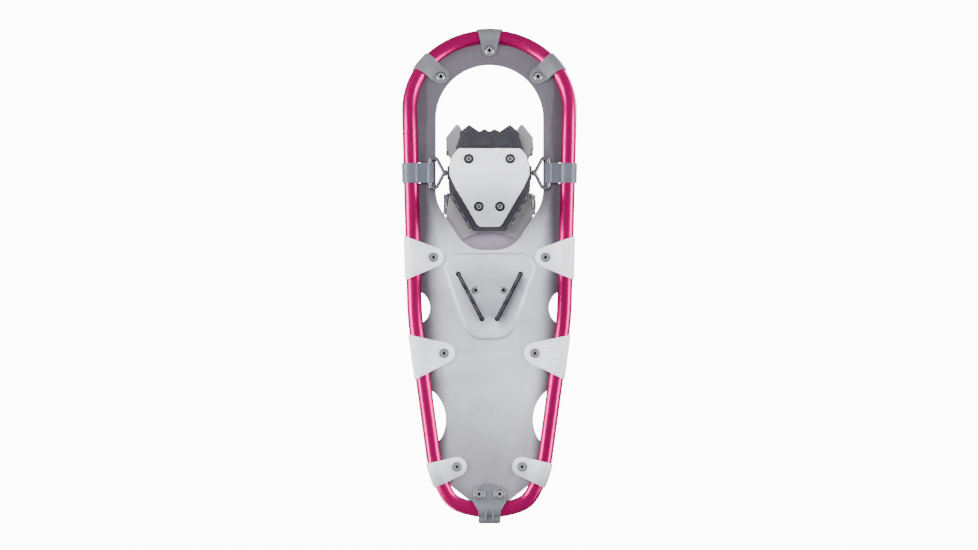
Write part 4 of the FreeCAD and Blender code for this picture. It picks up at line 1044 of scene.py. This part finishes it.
class SnowshoeLook(bpy.types.PropertyGroup):
    tube: colour("Tube", "Colour of the anodised tube", (0.62, 0.0, 0.16))
    # the deck's colour in its middle, and its painted shade beside the tube, at both ends and on the
    # dish's slope, which also colours its cloudy darker patches
    deck_pale: colour("Deck middle", "Colour of the deck's middle", (0.62, 0.63, 0.70))
    deck_shade_and_mottle: colour("Deck edge", "Colour of the deck beside the tube", (0.075, 0.062, 0.08))
    white: colour("White mouldings", "Colour of the clips and the ice plate", (0.82, 0.83, 0.87))
    ambient: bpy.props.FloatProperty(name="Ambient", description="Strength of the world's light",
                                     default=0.45, min=0.0)
    lamp_power: bpy.props.FloatProperty(name="Lamp power", description="Power of the main lamps",
                                        default=62.0, unit="POWER")
    backdrop_glow: bpy.props.FloatProperty(name="Backdrop glow", description="Strength of the backdrop",
                                           default=11.0, min=0.0)
    stitch_pitch: bpy.props.FloatProperty(
        name="Stitch pitch", description="Length of one stitch of the webbing",
        default=3.2 * MM, min=MM, unit="LENGTH")
    dish_rounding: bpy.props.FloatProperty(
        name="Dish rounding", description="Rounding of the heel triangle's rim",
        default=1.3 * MM, min=0.0, unit="LENGTH")
    cushion_swell: bpy.props.FloatProperty(
        name="Cushion swell", description="Most that the heel cushion swells",
        default=2.2 * MM, min=0.0, unit="LENGTH")
    lens: bpy.props.FloatProperty(name="Lens", description="Focal length in millimetres", default=400.0,
                                  min=1.0, unit="CAMERA")
    field_width: bpy.props.FloatProperty(name="Field width", description="Width that the camera sees",
                                         default=1.25, unit="LENGTH")


class SNOWSHOE_OT_finishes(bpy.types.Operator):
    """Makes every material"""
    bl_idname = "snowshoe.finishes"
    bl_label = "Make finishes"

    def execute(self, context):
        make_finishes(context.scene.snowshoe_look)
        return {"FINISHED"}


class SNOWSHOE_OT_tube(bpy.types.Operator):
    """Builds the anodised frame tube"""
    bl_idname = "snowshoe.tube"
    bl_label = "Build tube"

    def execute(self, context):
        build_tube(context.scene.snowshoe_look)
        return {"FINISHED"}


class SNOWSHOE_OT_deck(bpy.types.Operator):
    """Builds the deck sheet and its heel pad"""
    bl_idname = "snowshoe.deck"
    bl_label = "Build deck"

    def execute(self, context):
        build_deck(context.scene.snowshoe_look)
        return {"FINISHED"}


class SNOWSHOE_OT_fittings(bpy.types.Operator):
    """Builds the clips, the tail bracket and the rivets"""
    bl_idname = "snowshoe.fittings"
    bl_label = "Build fittings"

    def execute(self, context):
        build_fittings(context.scene.snowshoe_look)
        return {"FINISHED"}


class SNOWSHOE_OT_hinges(bpy.types.Operator):
    """Builds the hinge webbing and its rings"""
    bl_idname = "snowshoe.hinges"
    bl_label = "Build hinges"

    def execute(self, context):
        build_hinges(context.scene.snowshoe_look)
        return {"FINISHED"}


class SNOWSHOE_OT_crampons(bpy.types.Operator):
    """Builds both crampons and the ice plate"""
    bl_idname = "snowshoe.crampons"
    bl_label = "Build crampons"

    def execute(self, context):
        build_crampons(context.scene.snowshoe_look)
        return {"FINISHED"}


class SNOWSHOE_OT_harness(bpy.types.Operator):
    """Builds the harness, its straps and its pad"""
    bl_idname = "snowshoe.harness"
    bl_label = "Build harness"

    def execute(self, context):
        build_harness(context.scene.snowshoe_look)
        return {"FINISHED"}


class SNOWSHOE_OT_buckles(bpy.types.Operator):
    """Builds the three buckles"""
    bl_idname = "snowshoe.buckles"
    bl_label = "Build buckles"

    def execute(self, context):
        build_buckles(context.scene.snowshoe_look)
        return {"FINISHED"}


class SNOWSHOE_OT_stage(bpy.types.Operator):
    """Sets the floor, the lamps and the camera"""
    bl_idname = "snowshoe.stage"
    bl_label = "Set stage"

    def execute(self, context):
        build_stage(context.scene.snowshoe_look)
        return {"FINISHED"}


STEPS = (
    SNOWSHOE_OT_finishes,
    SNOWSHOE_OT_tube,
    SNOWSHOE_OT_deck,
    SNOWSHOE_OT_fittings,
    SNOWSHOE_OT_hinges,
    SNOWSHOE_OT_crampons,
    SNOWSHOE_OT_harness,
    SNOWSHOE_OT_buckles,
    SNOWSHOE_OT_stage,
)


class SNOWSHOE_PT_maker(bpy.types.Panel):
    """Sidebar panel with the settings and the building steps."""
    bl_label = "Snowshoe"
    bl_space_type = "VIEW_3D"
    bl_region_type = "UI"
    bl_category = "Snowshoe"

    def draw(self, context):
        look = context.scene.snowshoe_look
        for name in SnowshoeLook.__annotations__:
            self.layout.prop(look, name)
        for operator in STEPS:
            self.layout.operator(operator.bl_idname)


def register():
    for item in (SnowshoeLook, *STEPS, SNOWSHOE_PT_maker):
        bpy.utils.register_class(item)
    bpy.types.Scene.snowshoe_look = bpy.props.PointerProperty(type=SnowshoeLook)


def unregister():
    del bpy.types.Scene.snowshoe_look
    for item in (SNOWSHOE_PT_maker, *reversed(STEPS), SnowshoeLook):
        bpy.utils.unregister_class(item)


def main():
    register()
    for operator in STEPS:
        getattr(bpy.ops.snowshoe, operator.bl_idname.split(".")[1])()


if __name__ == "__main__":
    main()
